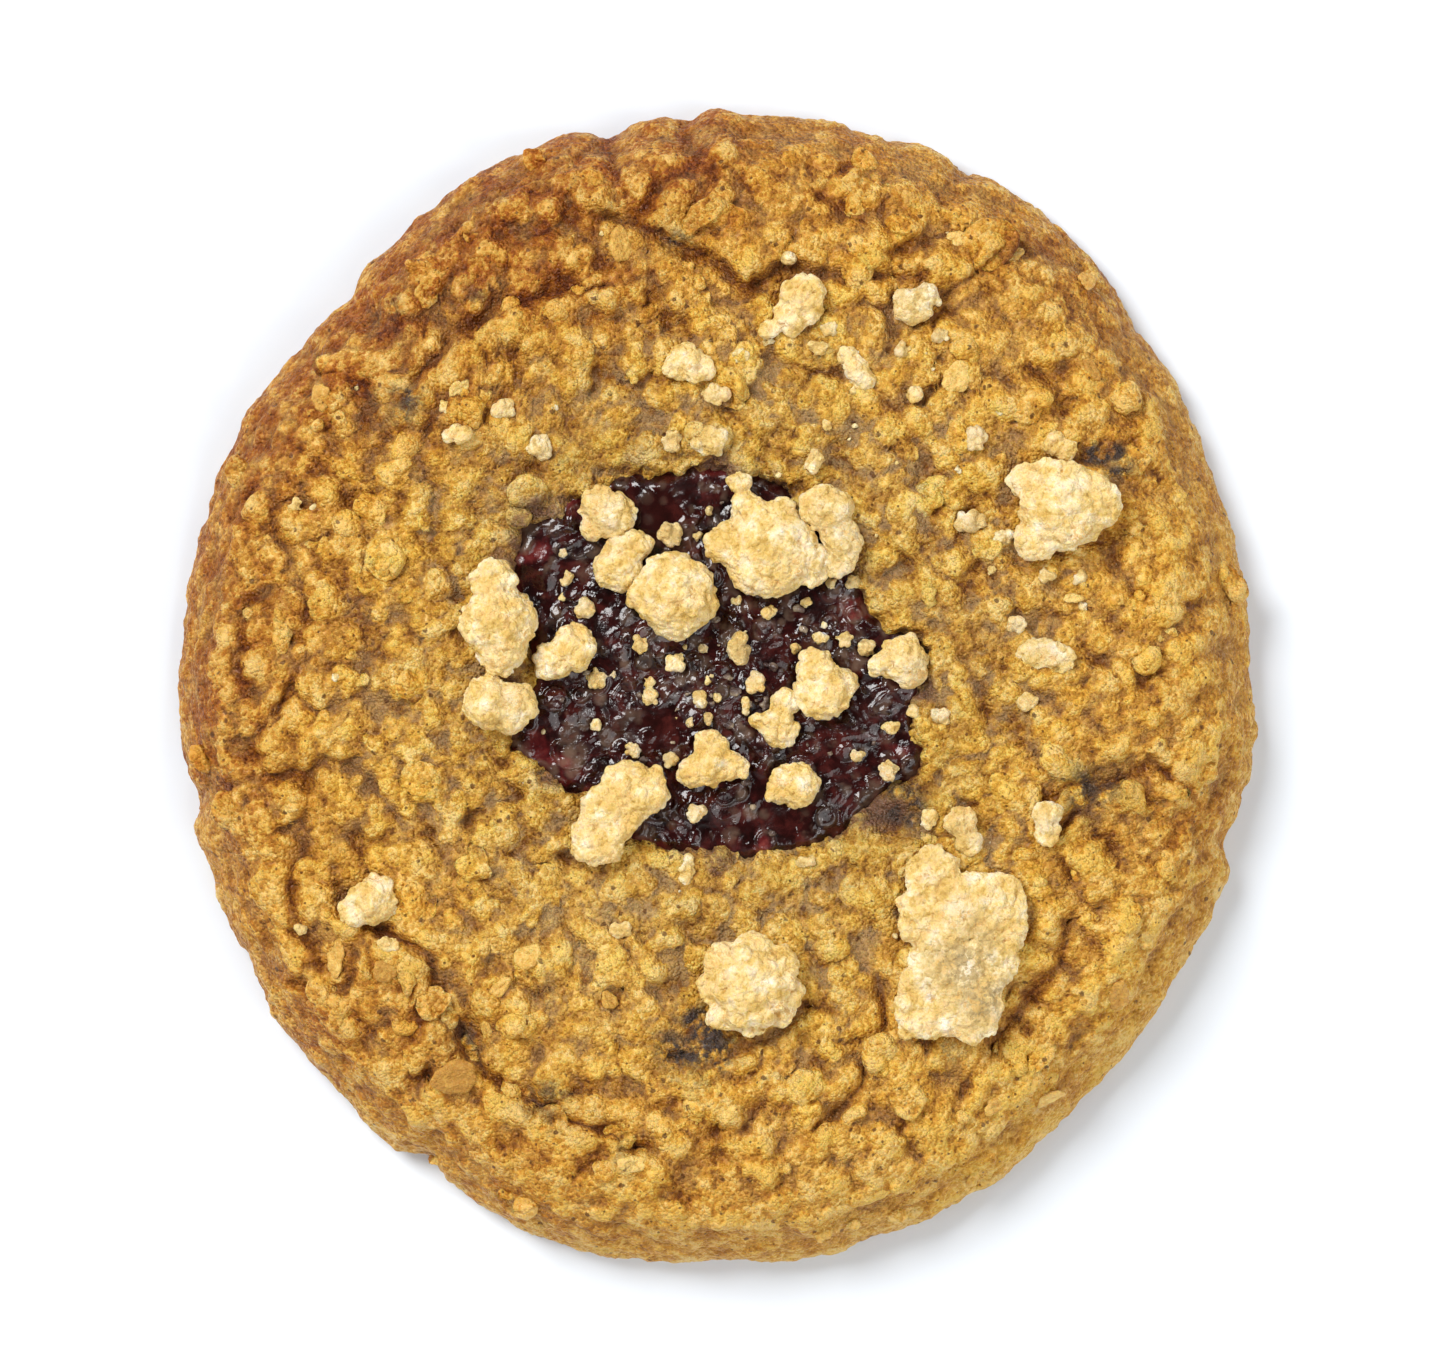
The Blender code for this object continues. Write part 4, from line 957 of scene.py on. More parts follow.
def nubs_mesh():
    """Oat clusters that stand out of the dough, each an uneven flattened blob sunk in it."""
    rng = np.random.default_rng(421)
    rows = list(NUBS) + random_nubs(RANDOM_NUBS, rng)
    large = [row for row in rows if row[2] > LARGE_NUB]
    small = [row for row in rows if row[2] <= LARGE_NUB]
    parts, orange, height = [], [], []
    for group, subdivisions in ((large, 3), (small, 2)):
        unit, triangles = ball_shape(subdivisions)
        for x, y, width, tone in group:
            stretch = rng.uniform(0.75, 1.25)
            turn = rng.uniform(0, np.pi)
            tall = width * rng.uniform(0.20, 0.27)
            local = unit * (width / 2 * stretch, width / 2 / stretch, tall)
            local = local @ np.array([
                [math.cos(turn), math.sin(turn), 0], [-math.sin(turn), math.cos(turn), 0], [0, 0, 1]
            ])
            ground, _ = dough_form(x, y)
            placed = local + (x, y, ground - 0.03 * width)
            shift = 0.30 * space_waves(placed, 0.6 * width, 430)
            shift += 0.14 * space_waves(placed, 0.3 * width, 431)
            parts.append((placed + unit * width * shift[:, None], triangles))
            orange.append(np.full(len(unit), tone))
            height.append(local[:, 2] / tall)
    points, faces = joined(parts)
    mesh = make_mesh("oat_clusters", points, faces)
    puffs = sum(
        tall * (np.abs(space_waves(points, size, 440 + k)) - 0.3)
        for k, (size, tall) in enumerate(NUB_PUFFS)
    )
    points = points + normals(mesh) * puffs[:, None]
    move_corners(mesh, points)
    x, y, _ = points.T
    # The nubs are paler higher up, and darker in their hollows, which is painted shade.
    level = 0.56 + 0.16 * np.concatenate(height) - 0.9 * hollowness(mesh, points, normals(mesh), 4)
    # Painted light: near the rim the nubs get the same paler lower right, and they are browner to the upper
    # left.
    level += rim_bake_and_painted_light(x, y)
    move_corners(mesh, in_frame(points))
    nothing = np.zeros(len(points))
    add_values(
        mesh,
        level=level,
        groove=nothing,
        orange=np.concatenate(orange),
        oat=nothing + 0.7,
        under=nothing,
        **baking(x, y),
    )
    return mesh


# ---------------------------------------------------------------- jam


def jam_mesh():
    """The jam: a wrinkled, bubbly top that dips under the dough's rim, and a plain underside."""
    far, angle, quads = disc_grid(JAM_GRID, 0.4)
    x, y = polar(angle, far * (jam_radius(angle) + JAM_TUCK), JAM_CENTRE)
    height = jam_height(x, y)
    flat = np.column_stack([x, y, np.zeros_like(x)])
    calm = spots(x, y, POOLS)
    bent = shaken(flat, 2.4, 0.5, 201)
    wrinkles = (1 - np.abs(space_waves(bent, WRINKLE_SIZE, 211))) ** 5
    fine_wrinkles = (1 - np.abs(space_waves(bent, FINE_WRINKLE_SIZE, 212))) ** 6
    rough = smooth_step(0.35 + 1.4 * space_waves(flat, 4.5, 213))
    bubble, bubble_chance = nodules(flat, BUBBLE_SIZE, 221, 0.40)
    circle = bell((bubble - 0.45) / 0.14) * (bubble_chance > 0.35)
    pearl, _ = nodules(flat, PEARL_SIZE, 231, 0.25)
    relief = (0.16 + 0.18 * rough) * wrinkles + 0.30 * rough * fine_wrinkles
    relief += 0.24 * bubble + 0.16 * circle + (0.08 + 0.16 * rough) * pearl
    streak = 0.5 + 0.5 * np.cos(2.6 * (y + 0.35 * x) + 2.5 * space_waves(flat, 3.0, 215))
    depth = jam_depth(x, y)
    height = height + 0.10 * calm * streak
    height = height + (relief - 0.35) * (1 - 0.8 * calm) * smooth_step((depth + JAM_TUCK) / 1.5)
    height -= 0.9 * (1 - smooth_step((depth + JAM_TUCK) / 1.6))
    rim, rings = disc_rim(JAM_GRID), []
    for inset, level in JAM_WALL:
        out = jam_radius(angle[rim]) - inset - WELL_GAP
        rings.append(np.column_stack([*polar(angle[rim], out, JAM_CENTRE), np.full_like(out, level)]))
    points = np.vstack([np.column_stack([x, y, height]), *rings, (*JAM_CENTRE, JAM_WALL[-1][1])])
    count = len(points)
    wall, ring = bands(rim, len(x), len(rings))
    fan = np.column_stack([np.roll(ring, -1), ring, np.full_like(ring, count - 1)])
    mesh = make_mesh("jam_filling", in_frame(points), np.vstack([quads, *wall]), fan)
    thin = (1 - smooth_step((depth - 0.1) / 1.3)) * smooth_step(0.4 + 1.2 * waves(x, y, 3.4, 241))
    coated = np.maximum(bubble * (bubble_chance < 0.25), 0.5 * circle)
    add_values(
        mesh,
        thin=padded(np.maximum(thin, spots(x, y, RED_PARTS)), count),
        coated=padded(np.maximum(1.1 * pearl, coated), count),
        calm=padded(calm, count),
    )
    return mesh


# ---------------------------------------------------------------- crumble


def ball_shape(subdivisions):
    """The corners and faces of a ball of radius 1."""
    shape = bmesh.new()
    bmesh.ops.create_icosphere(shape, subdivisions=subdivisions, radius=1)
    points = np.array([vert.co for vert in shape.verts])
    faces = np.array([[vert.index for vert in face.verts] for face in shape.faces])
    shape.free()
    return points, faces


def ball_mesh(*groups):
    """One mesh of flattened balls. Each group is how fine they are, then centre, half-width, half-height."""
    parts = []
    for subdivisions, balls in groups:
        unit, triangles = ball_shape(subdivisions)
        points = (unit[None] * balls[:, None, [3, 3, 4]] + balls[:, None, :3]).reshape(-1, 3)
        starts = len(unit) * np.arange(len(balls))
        parts.append((points, (triangles[None] + starts[:, None, None]).reshape(-1, 3)))
    return make_mesh("balls", *joined(parts))


def merged(mesh, voxel):
    """The outer skin of overlapping balls as one even mesh, and what was there is removed."""
    obj = bpy.data.objects.new("balls", mesh)
    bpy.context.scene.collection.objects.link(obj)
    remesh = obj.modifiers.new("Remesh", "REMESH")
    remesh.mode = "VOXEL"
    remesh.voxel_size = voxel
    remesh.use_smooth_shade = True
    graph = bpy.context.evaluated_depsgraph_get()
    made = bpy.data.meshes.new_from_object(obj.evaluated_get(graph))
    bpy.data.objects.remove(obj)
    bpy.data.meshes.remove(mesh)
    return made


def ground_height(x, y):
    """The height of the dough or the jam under each point, without fine relief."""
    return np.where(jam_depth(x, y) > 0, jam_height(x, y), dough_form(x, y)[0])


def knobs(balls, rng, per_area, smallest, largest):
    """Small balls scattered over the outside of larger ones, most of them near the smallest size."""
    weight = balls[:, 3] * balls[:, 4]
    count = int(per_area * 4 * np.pi * weight.sum())
    chosen = rng.choice(len(balls), count, p=weight / weight.sum())
    direction = rng.normal(size=(count, 3))
    direction /= np.linalg.norm(direction, axis=1)[:, None]
    radius = smallest + (largest - smallest) * rng.random(count) ** 2
    reach = balls[chosen][:, [3, 3, 4]] - rng.uniform(0.5, 0.9, count)[:, None] * radius[:, None]
    centre = balls[chosen][:, :3] + direction * reach
    return np.column_stack([centre, radius, radius * rng.uniform(0.7, 1.0, count)])


def crumble_surface(mesh, seed, roughness, dull=0.0):
    """Roughens a crumble mesh, in millimetres, and stores what its material reads."""
    points, out = corners(mesh), normals(mesh)
    bent = shaken(points, 1.4, 0.3, seed)
    crack = (1 - np.abs(space_waves(bent, 2.2, seed + 3))) ** 9
    grains, _ = nodules(shaken(points, 0.7, 0.15, seed + 4), 0.8, seed + 7, 0.85)
    clumps, _ = nodules(bent, 1.6, seed + 23, 0.7)
    wide, fine = space_waves(points, 2.4, seed + 13), space_waves(points, 0.36, seed + 14)
    moved = 0.16 * wide - 0.12 * crack + 0.32 * (clumps - 0.45) + 0.22 * (grains - 0.4) + 0.06 * fine
    points += out * (roughness * moved)[:, None]
    move_corners(mesh, points)
    out = normals(mesh)
    toast = 0.55 + 0.9 * space_waves(points, 1.5, seed + 15) + 0.6 * space_waves(points, 0.7, seed + 16)
    patches = 0.6 + 0.8 * space_waves(points, 3.0, 321)
    x, y, _ = points.T
    add_values(
        mesh,
        tone=0.5 + 0.35 * space_waves(points, 1.1, seed + 17),
        toast=toast * smooth_step((out[:, 2] + 0.5) / 0.9),
        # For painted shade in the hollows.
        hollow=0.4 + 2.2 * hollowness(mesh, points, out, 6),
        # For painted shade on the faces that turn down.
        low=0.5 - 0.5 * out[:, 2],
        dull=spots(x, y, GREY_AND_SHADED_PARTS) + dull * patches,
    )
    move_corners(mesh, in_frame(points))
    return mesh


def lump_mesh(number, flatness, balls):
    """One crumble lump, on the same balls as its solid, with small knobs all over it."""
    rng = np.random.default_rng(300 + number)
    x, y, radius = np.array(balls).T
    half_height = flatness * radius.max()
    middle = ground_height(x, y).mean() + half_height * (1 - LUMP_SINK)
    core = np.column_stack([x, y, np.full_like(x, middle), radius, radius * half_height / radius[0]])
    core[:, 3:] *= LUMP_CORE
    groups = [(2, knobs(core, rng, *kind)) for kind in LUMP_KNOBS]
    mesh = merged(ball_mesh((3, core), *groups), LUMP_VOXEL)
    return crumble_surface(mesh, 310 + 20 * number, 1.45 - 0.4 * flatness)


def crumb_balls(x, y, width, length, rng):
    """The few balls that make one small crumb."""
    size = math.sqrt(width * length)
    count = 8 + int(5 * size)
    angle, far = rng.uniform(0, 2 * np.pi, count), np.sqrt(rng.uniform(0.2, 1, count))
    radius = size * rng.uniform(0.10, 0.25, count)
    far[0], radius[0] = 0, 0.30 * size
    bx = x + (width / 2 - radius * 0.9) * far * np.cos(angle)
    by = y + (length / 2 - radius * 0.9) * far * np.sin(angle)
    bz = ground_height(x, y) + size * rng.uniform(0.0, 0.24, count)
    return np.column_stack([bx, by, bz, radius, radius * 0.85])


def scattered(count, smallest, rng, on_jam):
    """Tiny crumbs at random places, thick round the jam and thinner further out."""
    rows = []
    while len(rows) < count:
        x, y = random_place(rng, *DUST_OVAL, 1)
        if on_jam:
            x, y = 0.38 * x, 1 + 0.34 * y
        depth = jam_depth(x, y)
        if (depth > CLEAR_OF_SHORE) == on_jam and abs(depth) > CLEAR_OF_SHORE:
            size = smallest + (LARGEST_DUST - smallest) * rng.random() ** 2
            rows.append((x, y, size, size * rng.uniform(0.7, 1.0)))
    return rows


def crumbs_mesh(rows, seed, dull):
    """The small crumbs at these places, with these sizes, as one piece."""
    rng = np.random.default_rng(seed)
    balls = np.vstack([crumb_balls(*row, rng) for row in rows])
    mesh = merged(ball_mesh((2, balls)), CRUMB_VOXEL)
    return crumble_surface(mesh, seed, 0.7, dull)


def beads_mesh(count, seed):
    """Small jam-coated crumbs, half sunk in the jam and thickest in its middle."""
    rng = np.random.default_rng(seed)
    balls = []
    while len(balls) < count:
        x, y = rng.normal(0, 7.5), 1 + rng.normal(0, 6.5)
        if jam_depth(x, y) > CLEAR_OF_SHORE and spots(x, y, POOLS) < 0.4:
            size = 0.5 + 0.9 * rng.random() ** 2
            bead = crumb_balls(x, y, size, size * rng.uniform(0.7, 1.0), rng)
            balls.append(bead - (0, 0, 0.15 * size, 0, 0))
    return crumble_surface(merged(ball_mesh((2, np.vstack(balls))), CRUMB_VOXEL), seed, 0.4)


# ---------------------------------------------------------------- oat flakes


def flake_points(length, width, rng):
    """One rolled oat: a thin uneven oval with a groove along its middle, and its faces."""
    angle = np.linspace(0, 2 * np.pi, FLAKE_SPOKES, endpoint=False)
    wobble = 1 + 0.10 * np.cos(2 * angle + rng.uniform(0, 6)) + 0.08 * np.cos(3 * angle + rng.uniform(0, 6))
    wobble += 0.05 * np.cos(7 * angle + rng.uniform(0, 6))
    thick = 0.24 + 0.1 * rng.random()
    rows, faces = [], []
    for side in (1, -1):
        for k in range(FLAKE_RINGS):
            far = math.sin(math.pi / 2 * k / (FLAKE_RINGS - 1))
            px, py = far * wobble * np.cos(angle), far * wobble * np.sin(angle)
            pz = side * thick * math.sqrt(max(0, 1 - far ** 4)) * np.ones(FLAKE_SPOKES)
            pz -= 0.14 * side * bell(py / 0.18) * (1 - far ** 2)
            rows.append(np.column_stack([px * length / 2, py * width / 2, pz + 0.12 * px ** 2]))
    upper = np.arange(FLAKE_RINGS * FLAKE_SPOKES).reshape(FLAKE_RINGS, FLAKE_SPOKES)
    lower = upper + upper.size
    for ring_a, ring_b in zip(upper[1:], upper[:-1]):
        faces.append(band(ring_b, ring_a))
    for ring_a, ring_b in zip(lower[1:], lower[:-1]):
        faces.append(band(ring_a, ring_b))
    faces.append(band(upper[-1], lower[-1]))
    return np.vstack(rows), np.vstack(faces)


def flakes_mesh():
    """All the oat flakes that lie loose enough on the dough to show their own outline."""
    rng = np.random.default_rng(401)
    rows = list(FLAKES)
    while len(rows) < FLAKE_COUNT:
        x, y = random_place(rng, *FLAKE_OVAL, 0.5)
        if free_of_toppings(x, y, 2.0):
            length = rng.uniform(1.8, 3.4)
            rows.append((x, y, length, length * rng.uniform(0.5, 0.8), rng.uniform(0, 360)))
    parts, tones = [], []
    for x, y, length, width, direction in rows:
        local, quads = flake_points(length, width, rng)
        near_x = x + SLOPE_STEP * np.array([0, 1, 0, -1, 0])
        near_y = y + SLOPE_STEP * np.array([0, 0, 1, 0, -1])
        ground = dough_form(near_x, near_y)[0]
        slope = (ground[3:] - ground[1:3]) / (2 * SLOPE_STEP)
        up = Vector((*(slope + rng.normal(0, 0.16, 2)), 1)).normalized()
        ahead = Vector((math.cos(math.radians(direction)), math.sin(math.radians(direction)), 0))
        left = up.cross(ahead).normalized()
        ahead = left.cross(up)
        laid = local @ np.array([ahead, left, up])
        parts.append((laid + (x, y, ground.mean() + 0.08), quads))
        tones.append(np.full(len(local), rng.random()))
    points, faces = joined(parts)
    mesh = make_mesh("oat_flakes", points, faces)
    out = normals(mesh)
    grain = 0.05 * space_waves(points, 0.5, 411) + 0.03 * space_waves(points, 0.25, 412)
    move_corners(mesh, in_frame(points + out * grain[:, None]))
    x, y, _ = points.T
    inset = outline_radius(np.arctan2(y, x)) - np.hypot(x, y)
    add_values(mesh, chance=np.concatenate(tones), toast=1 - inset / BROWN_RIM)
    return mesh


# ---------------------------------------------------------------- materials


def linear(red, green, blue):
    """An sRGB colour, 0 to 255, as Blender's linear one."""
    values = [value / 255 for value in (red, green, blue)]
    return (*[v / 12.92 if v <= 0.04045 else ((v + 0.055) / 1.055) ** 2.4 for v in values], 1)


class Tree:
    """A material's nodes, with short calls for the kinds used here."""

    def __init__(self, name):
        self.material = bpy.data.materials.new(name)
        self.material.use_nodes = True
        self.tree = self.material.node_tree
        self.surface = self.tree.nodes["Principled BSDF"]
        place = self.node("ShaderNodeTexCoord")
        scale = self.node("ShaderNodeVectorMath", operation="SCALE")
        self.tree.links.new(place.outputs["Object"], scale.inputs[0])
        scale.inputs["Scale"].default_value = 1 / MM
        self.place = scale.outputs[0]

    def node(self, kind, **settings):
        made = self.tree.nodes.new(kind)
        for name, value in settings.items():
            setattr(made, name, value)
        return made

    def put(self, socket, value):
        """Links an output to a socket, or sets the socket's own number or colour."""
        if isinstance(value, bpy.types.NodeSocket):
            self.tree.links.new(value, socket)
        else:
            socket.default_value = value

    def value(self, name):
        return self.node("ShaderNodeAttribute", attribute_name=name).outputs["Fac"]

    def math(self, operation, one, two):
        made = self.node("ShaderNodeMath", operation=operation)
        self.put(made.inputs[0], one)
        self.put(made.inputs[1], two)
        return made.outputs[0]

    def span(self, value, low, high, to_low=0.0, to_high=1.0):
        """The value's place between low and high, smoothly, from to_low to to_high."""
        made = self.node("ShaderNodeMapRange", interpolation_type="SMOOTHSTEP")
        for number, item in enumerate((value, low, high, to_low, to_high)):
            self.put(made.inputs[number], item)
        return made.outputs[0]

    def noise(self, size, detail=2.0, roughness=0.5, distortion=0.0):
        """Noise from 0 to 1, with patches about `size` millimetres across."""
        made = self.node("ShaderNodeTexNoise")
        self.put(made.inputs["Vector"], self.place)
        self.put(made.inputs["Scale"], 1 / size)
        self.put(made.inputs["Detail"], detail)
        self.put(made.inputs["Roughness"], roughness)
        self.put(made.inputs["Distortion"], distortion)
        return made.outputs[0]

    def speckle(self, size, amount, detail=2.0, roughness=0.5):
        """Noise about 0, with most of it from -amount to +amount."""
        made = self.math("SUBTRACT", self.noise(size, detail, roughness), 0.5)
        return self.times(made, 5 * amount)

    def times(self, one, two):
        return self.math("MULTIPLY", one, two)

    def total(self, *values):
        made = values[0]
        for value in values[1:]:
            made = self.math("ADD", made, value)
        return made

    def weighted(self, *parts):
        """The sum of values, each with its weight."""
        return self.total(*[self.times(value, weight) for value, weight in parts])

    def cells(self, size):
        made = self.node("ShaderNodeTexVoronoi")
        self.put(made.inputs["Vector"], self.place)
        self.put(made.inputs["Scale"], 1 / size)
        return made

    def grains(self, size):
        """Rounded grains about `size` millimetres across: their height and a random tone, 0 to 1."""
        made = self.cells(size)
        tone = self.node("ShaderNodeSeparateColor")
        self.put(tone.inputs[0], made.outputs["Color"])
        height = self.span(made.outputs["Distance"], 0.75, 0.1)
        return height, tone.outputs[0]

    def ragged_cells(self, size):
        """Distance to the nearest of scattered points, 0 to 1, unevenly so that a spot there isn't round."""
        return self.math("ADD", self.cells(size).outputs["Distance"], self.speckle(0.35, 0.05))

    def about_zero(self, tone, amount):
        """A tone from 0 to 1 as one from -amount / 2 to +amount / 2."""
        return self.times(self.math("SUBTRACT", tone, 0.5), amount)

    def mix(self, factor, one, two, blend="MIX"):
        made = self.node("ShaderNodeMix", data_type="RGBA", blend_type=blend, clamp_factor=True)
        self.put(made.inputs[0], factor)
        self.put(made.inputs[6], one)
        self.put(made.inputs[7], two)
        return made.outputs[2]

    def cover(self, colour, share, over):
        """The colour with a share of an sRGB colour over it."""
        return self.mix(share, colour, linear(*over))

    def tint(self, colour, share, tone):
        """The colour with a share of it multiplied by an sRGB colour."""
        return self.mix(share, colour, linear(*tone), "MULTIPLY")

    def ramp(self, value, *stops):
        """Colours along a value, each stop a position and an sRGB colour."""
        made = self.node("ShaderNodeValToRGB")
        elements = made.color_ramp.elements
        while len(elements) < len(stops):
            elements.new(0.5)
        for element, (position, colour) in zip(elements, stops):
            element.position = position
            element.color = linear(*colour)
        self.put(made.inputs[0], value)
        return made.outputs[0]

    def bump(self, height):
        """A normal that shows the height, in millimetres."""
        made = self.node("ShaderNodeBump")
        self.put(made.inputs["Height"], height)
        made.inputs["Distance"].default_value = MM
        return made.outputs[0]

    def finish(self, **sockets):
        for name, value in sockets.items():
            self.put(self.surface.inputs[name.replace("_", " ")], value)
        return self.material


def dough_material():
    t = Tree("baked_dough")
    oat = t.value("oat")
    # The level value carries the golden tone of raised parts, painted shade in the hollows and painted light
    # on the rim.
    shape = t.total(t.value("level"), t.span(oat, 0.0, 1.0, -0.05, 0.10))
    mottle = t.speckle(0.6, 0.10, 2.0, 0.6)
    granule, granule_tone = t.grains(0.32)
    clump, clump_tone = t.grains(0.95)
    tones = t.total(t.about_zero(granule_tone, 0.42), t.about_zero(clump_tone, 0.20))
    level = t.total(shape, t.speckle(1.8, 0.18, 3.0, 0.6), mottle, tones)
    colour = t.ramp(
        level,
        (0.00, (116, 67, 14)),
        (0.20, (152, 101, 28)),
        (0.40, (178, 128, 46)),
        (0.60, (202, 153, 63)),
        (0.80, (218, 175, 86)),
        (1.00, (230, 200, 126)),
    )
    patches = t.noise(2.6, 3.0, 0.6)
    fine = t.noise(1.2, 3.0, 0.65)
    grey = t.times(t.span(patches, 0.58, 0.40), t.span(shape, 0.66, 0.42))
    grey = t.times(grey, t.span(t.value("inner"), 0.0, 1.0, 0.35, 0.75))
    colour = t.cover(colour, grey, (158, 128, 88))
    golden = t.times(t.span(patches, 0.40, 0.58), t.span(shape, 0.48, 0.72))
    colour = t.tint(colour, golden, (255, 249, 204))
    outer = t.math("SUBTRACT", 1.0, t.value("inner"))
    colour = t.tint(colour, outer, (255, 246, 228))
    colour = t.tint(colour, t.value("orange"), (255, 232, 172))
    toasted = t.times(t.value("toast"), t.span(patches, 0.25, 0.60))
    toasted = t.times(toasted, t.span(level, 1.0, 0.5, 0.5, 1.0))
    colour = t.tint(colour, toasted, (200, 156, 118))
    pale = t.times(t.value("pale"), t.span(fine, 0.35, 0.65))
    colour = t.cover(colour, t.times(pale, 0.45), (224, 190, 116))
    jam_near = t.times(t.value("jam_near"), t.span(fine, 0.7, 0.3))
    colour = t.tint(colour, jam_near, (202, 194, 190))
    soaked = t.times(t.span(t.value("jam_near"), 0.78, 1.0), t.span(fine, 0.75, 0.35, 0.35, 0.9))
    colour = t.cover(colour, soaked, (118, 84, 66))
    # Painted shade: darker in the folds' grooves, the cracks and the pits.
    groove = t.times(t.value("groove"), t.span(mottle, -0.1, 0.1, 0.4, 1.0))
    colour = t.tint(colour, t.times(groove, 0.6), (196, 154, 116))
    stain = t.times(t.value("stain"), t.span(fine, 0.36, 0.56))
    colour = t.cover(colour, stain, (68, 54, 46))
    # Painted shade: tiny pores, holes too small for the mesh, drawn as dark dots.
    small_pore_shade = t.times(t.span(t.ragged_cells(0.9), 0.17, 0.10), t.span(patches, 0.47, 0.53))
    large_pore_shade = t.times(t.span(t.ragged_cells(1.7), 0.17, 0.11), t.span(patches, 0.54, 0.48))
    pore_shade = t.math("MAXIMUM", small_pore_shade, large_pore_shade)
    colour = t.cover(colour, t.times(pore_shade, 0.8), (88, 48, 16))
    colour = t.tint(colour, t.value("under"), (232, 196, 160))
    relief = t.weighted((mottle, 0.40), (granule, 0.18), (clump, 0.15))
    return t.finish(
        Base_Color=colour,
        Roughness=t.span(granule_tone, 0.2, 0.8, 0.60, 0.38),
        Specular_IOR_Level=0.26,
        Subsurface_Weight=0.28,
        Subsurface_Radius=(1.0, 0.5, 0.18),
        Subsurface_Scale=0.6 * MM,
        Normal=t.bump(relief),
    )


def jam_material():
    t = Tree("berry_jam")
    film = t.noise(1.6, 3.0, 0.6, 0.4)
    dark = t.ramp(film, (0.35, (22, 4, 3)), (0.5, (42, 10, 9)), (0.7, (74, 28, 24)))
    red = t.ramp(film, (0.35, (52, 11, 11)), (0.5, (84, 23, 24)), (0.7, (120, 54, 48)))
    thin = t.span(t.total(t.value("thin"), t.speckle(1.2, 0.15)), 0.3, 0.8)
    colour = t.mix(thin, dark, red)
    milky = t.times(t.value("coated"), t.span(t.noise(2.6, 3.0, 0.6), 0.44, 0.6))
    colour = t.cover(colour, t.times(milky, 0.7), (116, 94, 78))
    colour = t.cover(colour, t.times(t.value("calm"), 0.8), (38, 10, 7))
    stir = t.math("SUBTRACT", 1.0, t.value("calm"))
    return t.finish(
        Base_Color=colour,
        Roughness=t.span(t.noise(1.8, 2.0), 0.42, 0.58, 0.06, 0.20),
        Specular_IOR_Level=0.5,
        Normal=t.bump(t.times(t.speckle(0.45, 0.012, 2.0), stir)),
    )


def bead_material():
    t = Tree("jam_coated_beads")
    tone = t.total(t.value("tone"), t.speckle(1.1, 0.3))
    colour = t.ramp(tone, (0.2, (62, 44, 41)), (0.5, (106, 88, 77)), (0.85, (168, 150, 122)))
    return t.finish(
        Base_Color=colour,
        Roughness=0.2,
        Specular_IOR_Level=0.5,
        Normal=t.bump(t.speckle(0.4, 0.04)),
    )


def crumble_material():
    t = Tree("butter_crumble")
    mottle = t.speckle(0.6, 0.22, 3.0, 0.6)
    granule, granule_tone = t.grains(0.3)
    clump, clump_tone = t.grains(0.75)
    tones = t.total(t.about_zero(granule_tone, 0.22), t.about_zero(clump_tone, 0.22))
    colour = t.ramp(
        t.total(t.value("tone"), mottle, tones),
        (0.00, (200, 160, 80)),
        (0.25, (222, 186, 106)),
        (0.50, (237, 210, 146)),
        (0.75, (243, 226, 185)),
        (1.00, (247, 239, 220)),
    )
    toasted = t.times(t.value("toast"), t.span(t.total(mottle, tones), 0.0, 0.14))
    colour = t.cover(colour, t.times(toasted, 0.85), (218, 174, 96))
    # Painted shade: darker in the crumble's hollows.
    colour = t.tint(colour, t.span(t.value("hollow"), 0.45, 0.9), (222, 190, 140))
    # Painted shade: darker on the faces that turn down, under the lumps.
    colour = t.tint(colour, t.span(t.value("low"), 0.35, 0.8, 0.0, 0.6), (228, 210, 180))
    # Greyer crumble, and painted shade in the hollow of the large slab.
    dull = t.times(t.value("dull"), t.span(t.total(mottle, tones), 0.14, -0.08, 0.2, 1.0))
    colour = t.cover(colour, t.times(dull, 0.85), (176, 152, 108))
    relief = t.weighted((mottle, 0.18), (clump, 0.14), (granule, 0.08))
    return t.finish(
        Base_Color=colour,
        Roughness=0.7,
        Specular_IOR_Level=0.25,
        Subsurface_Weight=0.35,
        Subsurface_Radius=(1.0, 0.7, 0.4),
        Subsurface_Scale=0.7 * MM,
        Normal=t.bump(relief),
    )


def flake_material():
    t = Tree("rolled_oats")
    mottle = t.speckle(0.6, 0.2, 3.0, 0.6)
    granule, granule_tone = t.grains(0.3)
    tone = t.total(t.value("chance"), mottle, t.about_zero(granule_tone, 0.3))
    colour = t.ramp(tone, (0.0, (184, 134, 56)), (0.5, (214, 168, 80)), (1.0, (238, 204, 124)))
    toasted = t.times(t.value("toast"), t.span(t.noise(1.8, 3.0), 0.3, 0.65))
    colour = t.tint(colour, t.times(toasted, 0.5), (222, 186, 140))
    return t.finish(
        Base_Color=colour,
        Roughness=0.55,
        Specular_IOR_Level=0.3,
        Subsurface_Weight=0.3,
        Subsurface_Radius=(1.0, 0.5, 0.18),
        Subsurface_Scale=0.6 * MM,
        Normal=t.bump(t.weighted((mottle, 0.35), (granule, 0.08))),
    )


def floor_material():
    """White with a little less red, which makes up for the cookie's warm light on it."""
    t = Tree("white_floor")
    colour = t.ramp(t.noise(40.0, 2.0), (0.0, (232, 238, 245)), (1.0, (235, 241, 248)))
    return t.finish(Base_Color=colour, Roughness=0.9, Specular_IOR_Level=0.1)


# ---------------------------------------------------------------- scene


def add_floor(material):
    half, level = FLOOR_HALF_WIDTH, -FLOOR_DROP
    points = [(-half, -half, level), (half, -half, level), (half, half, level), (-half, half, level)]
    mesh = make_mesh("floor", points, [(0, 1, 2, 3)])
    mesh.materials.append(material)
    floor = bpy.data.objects.new("floor", mesh)
    bpy.context.scene.collection.objects.link(floor)


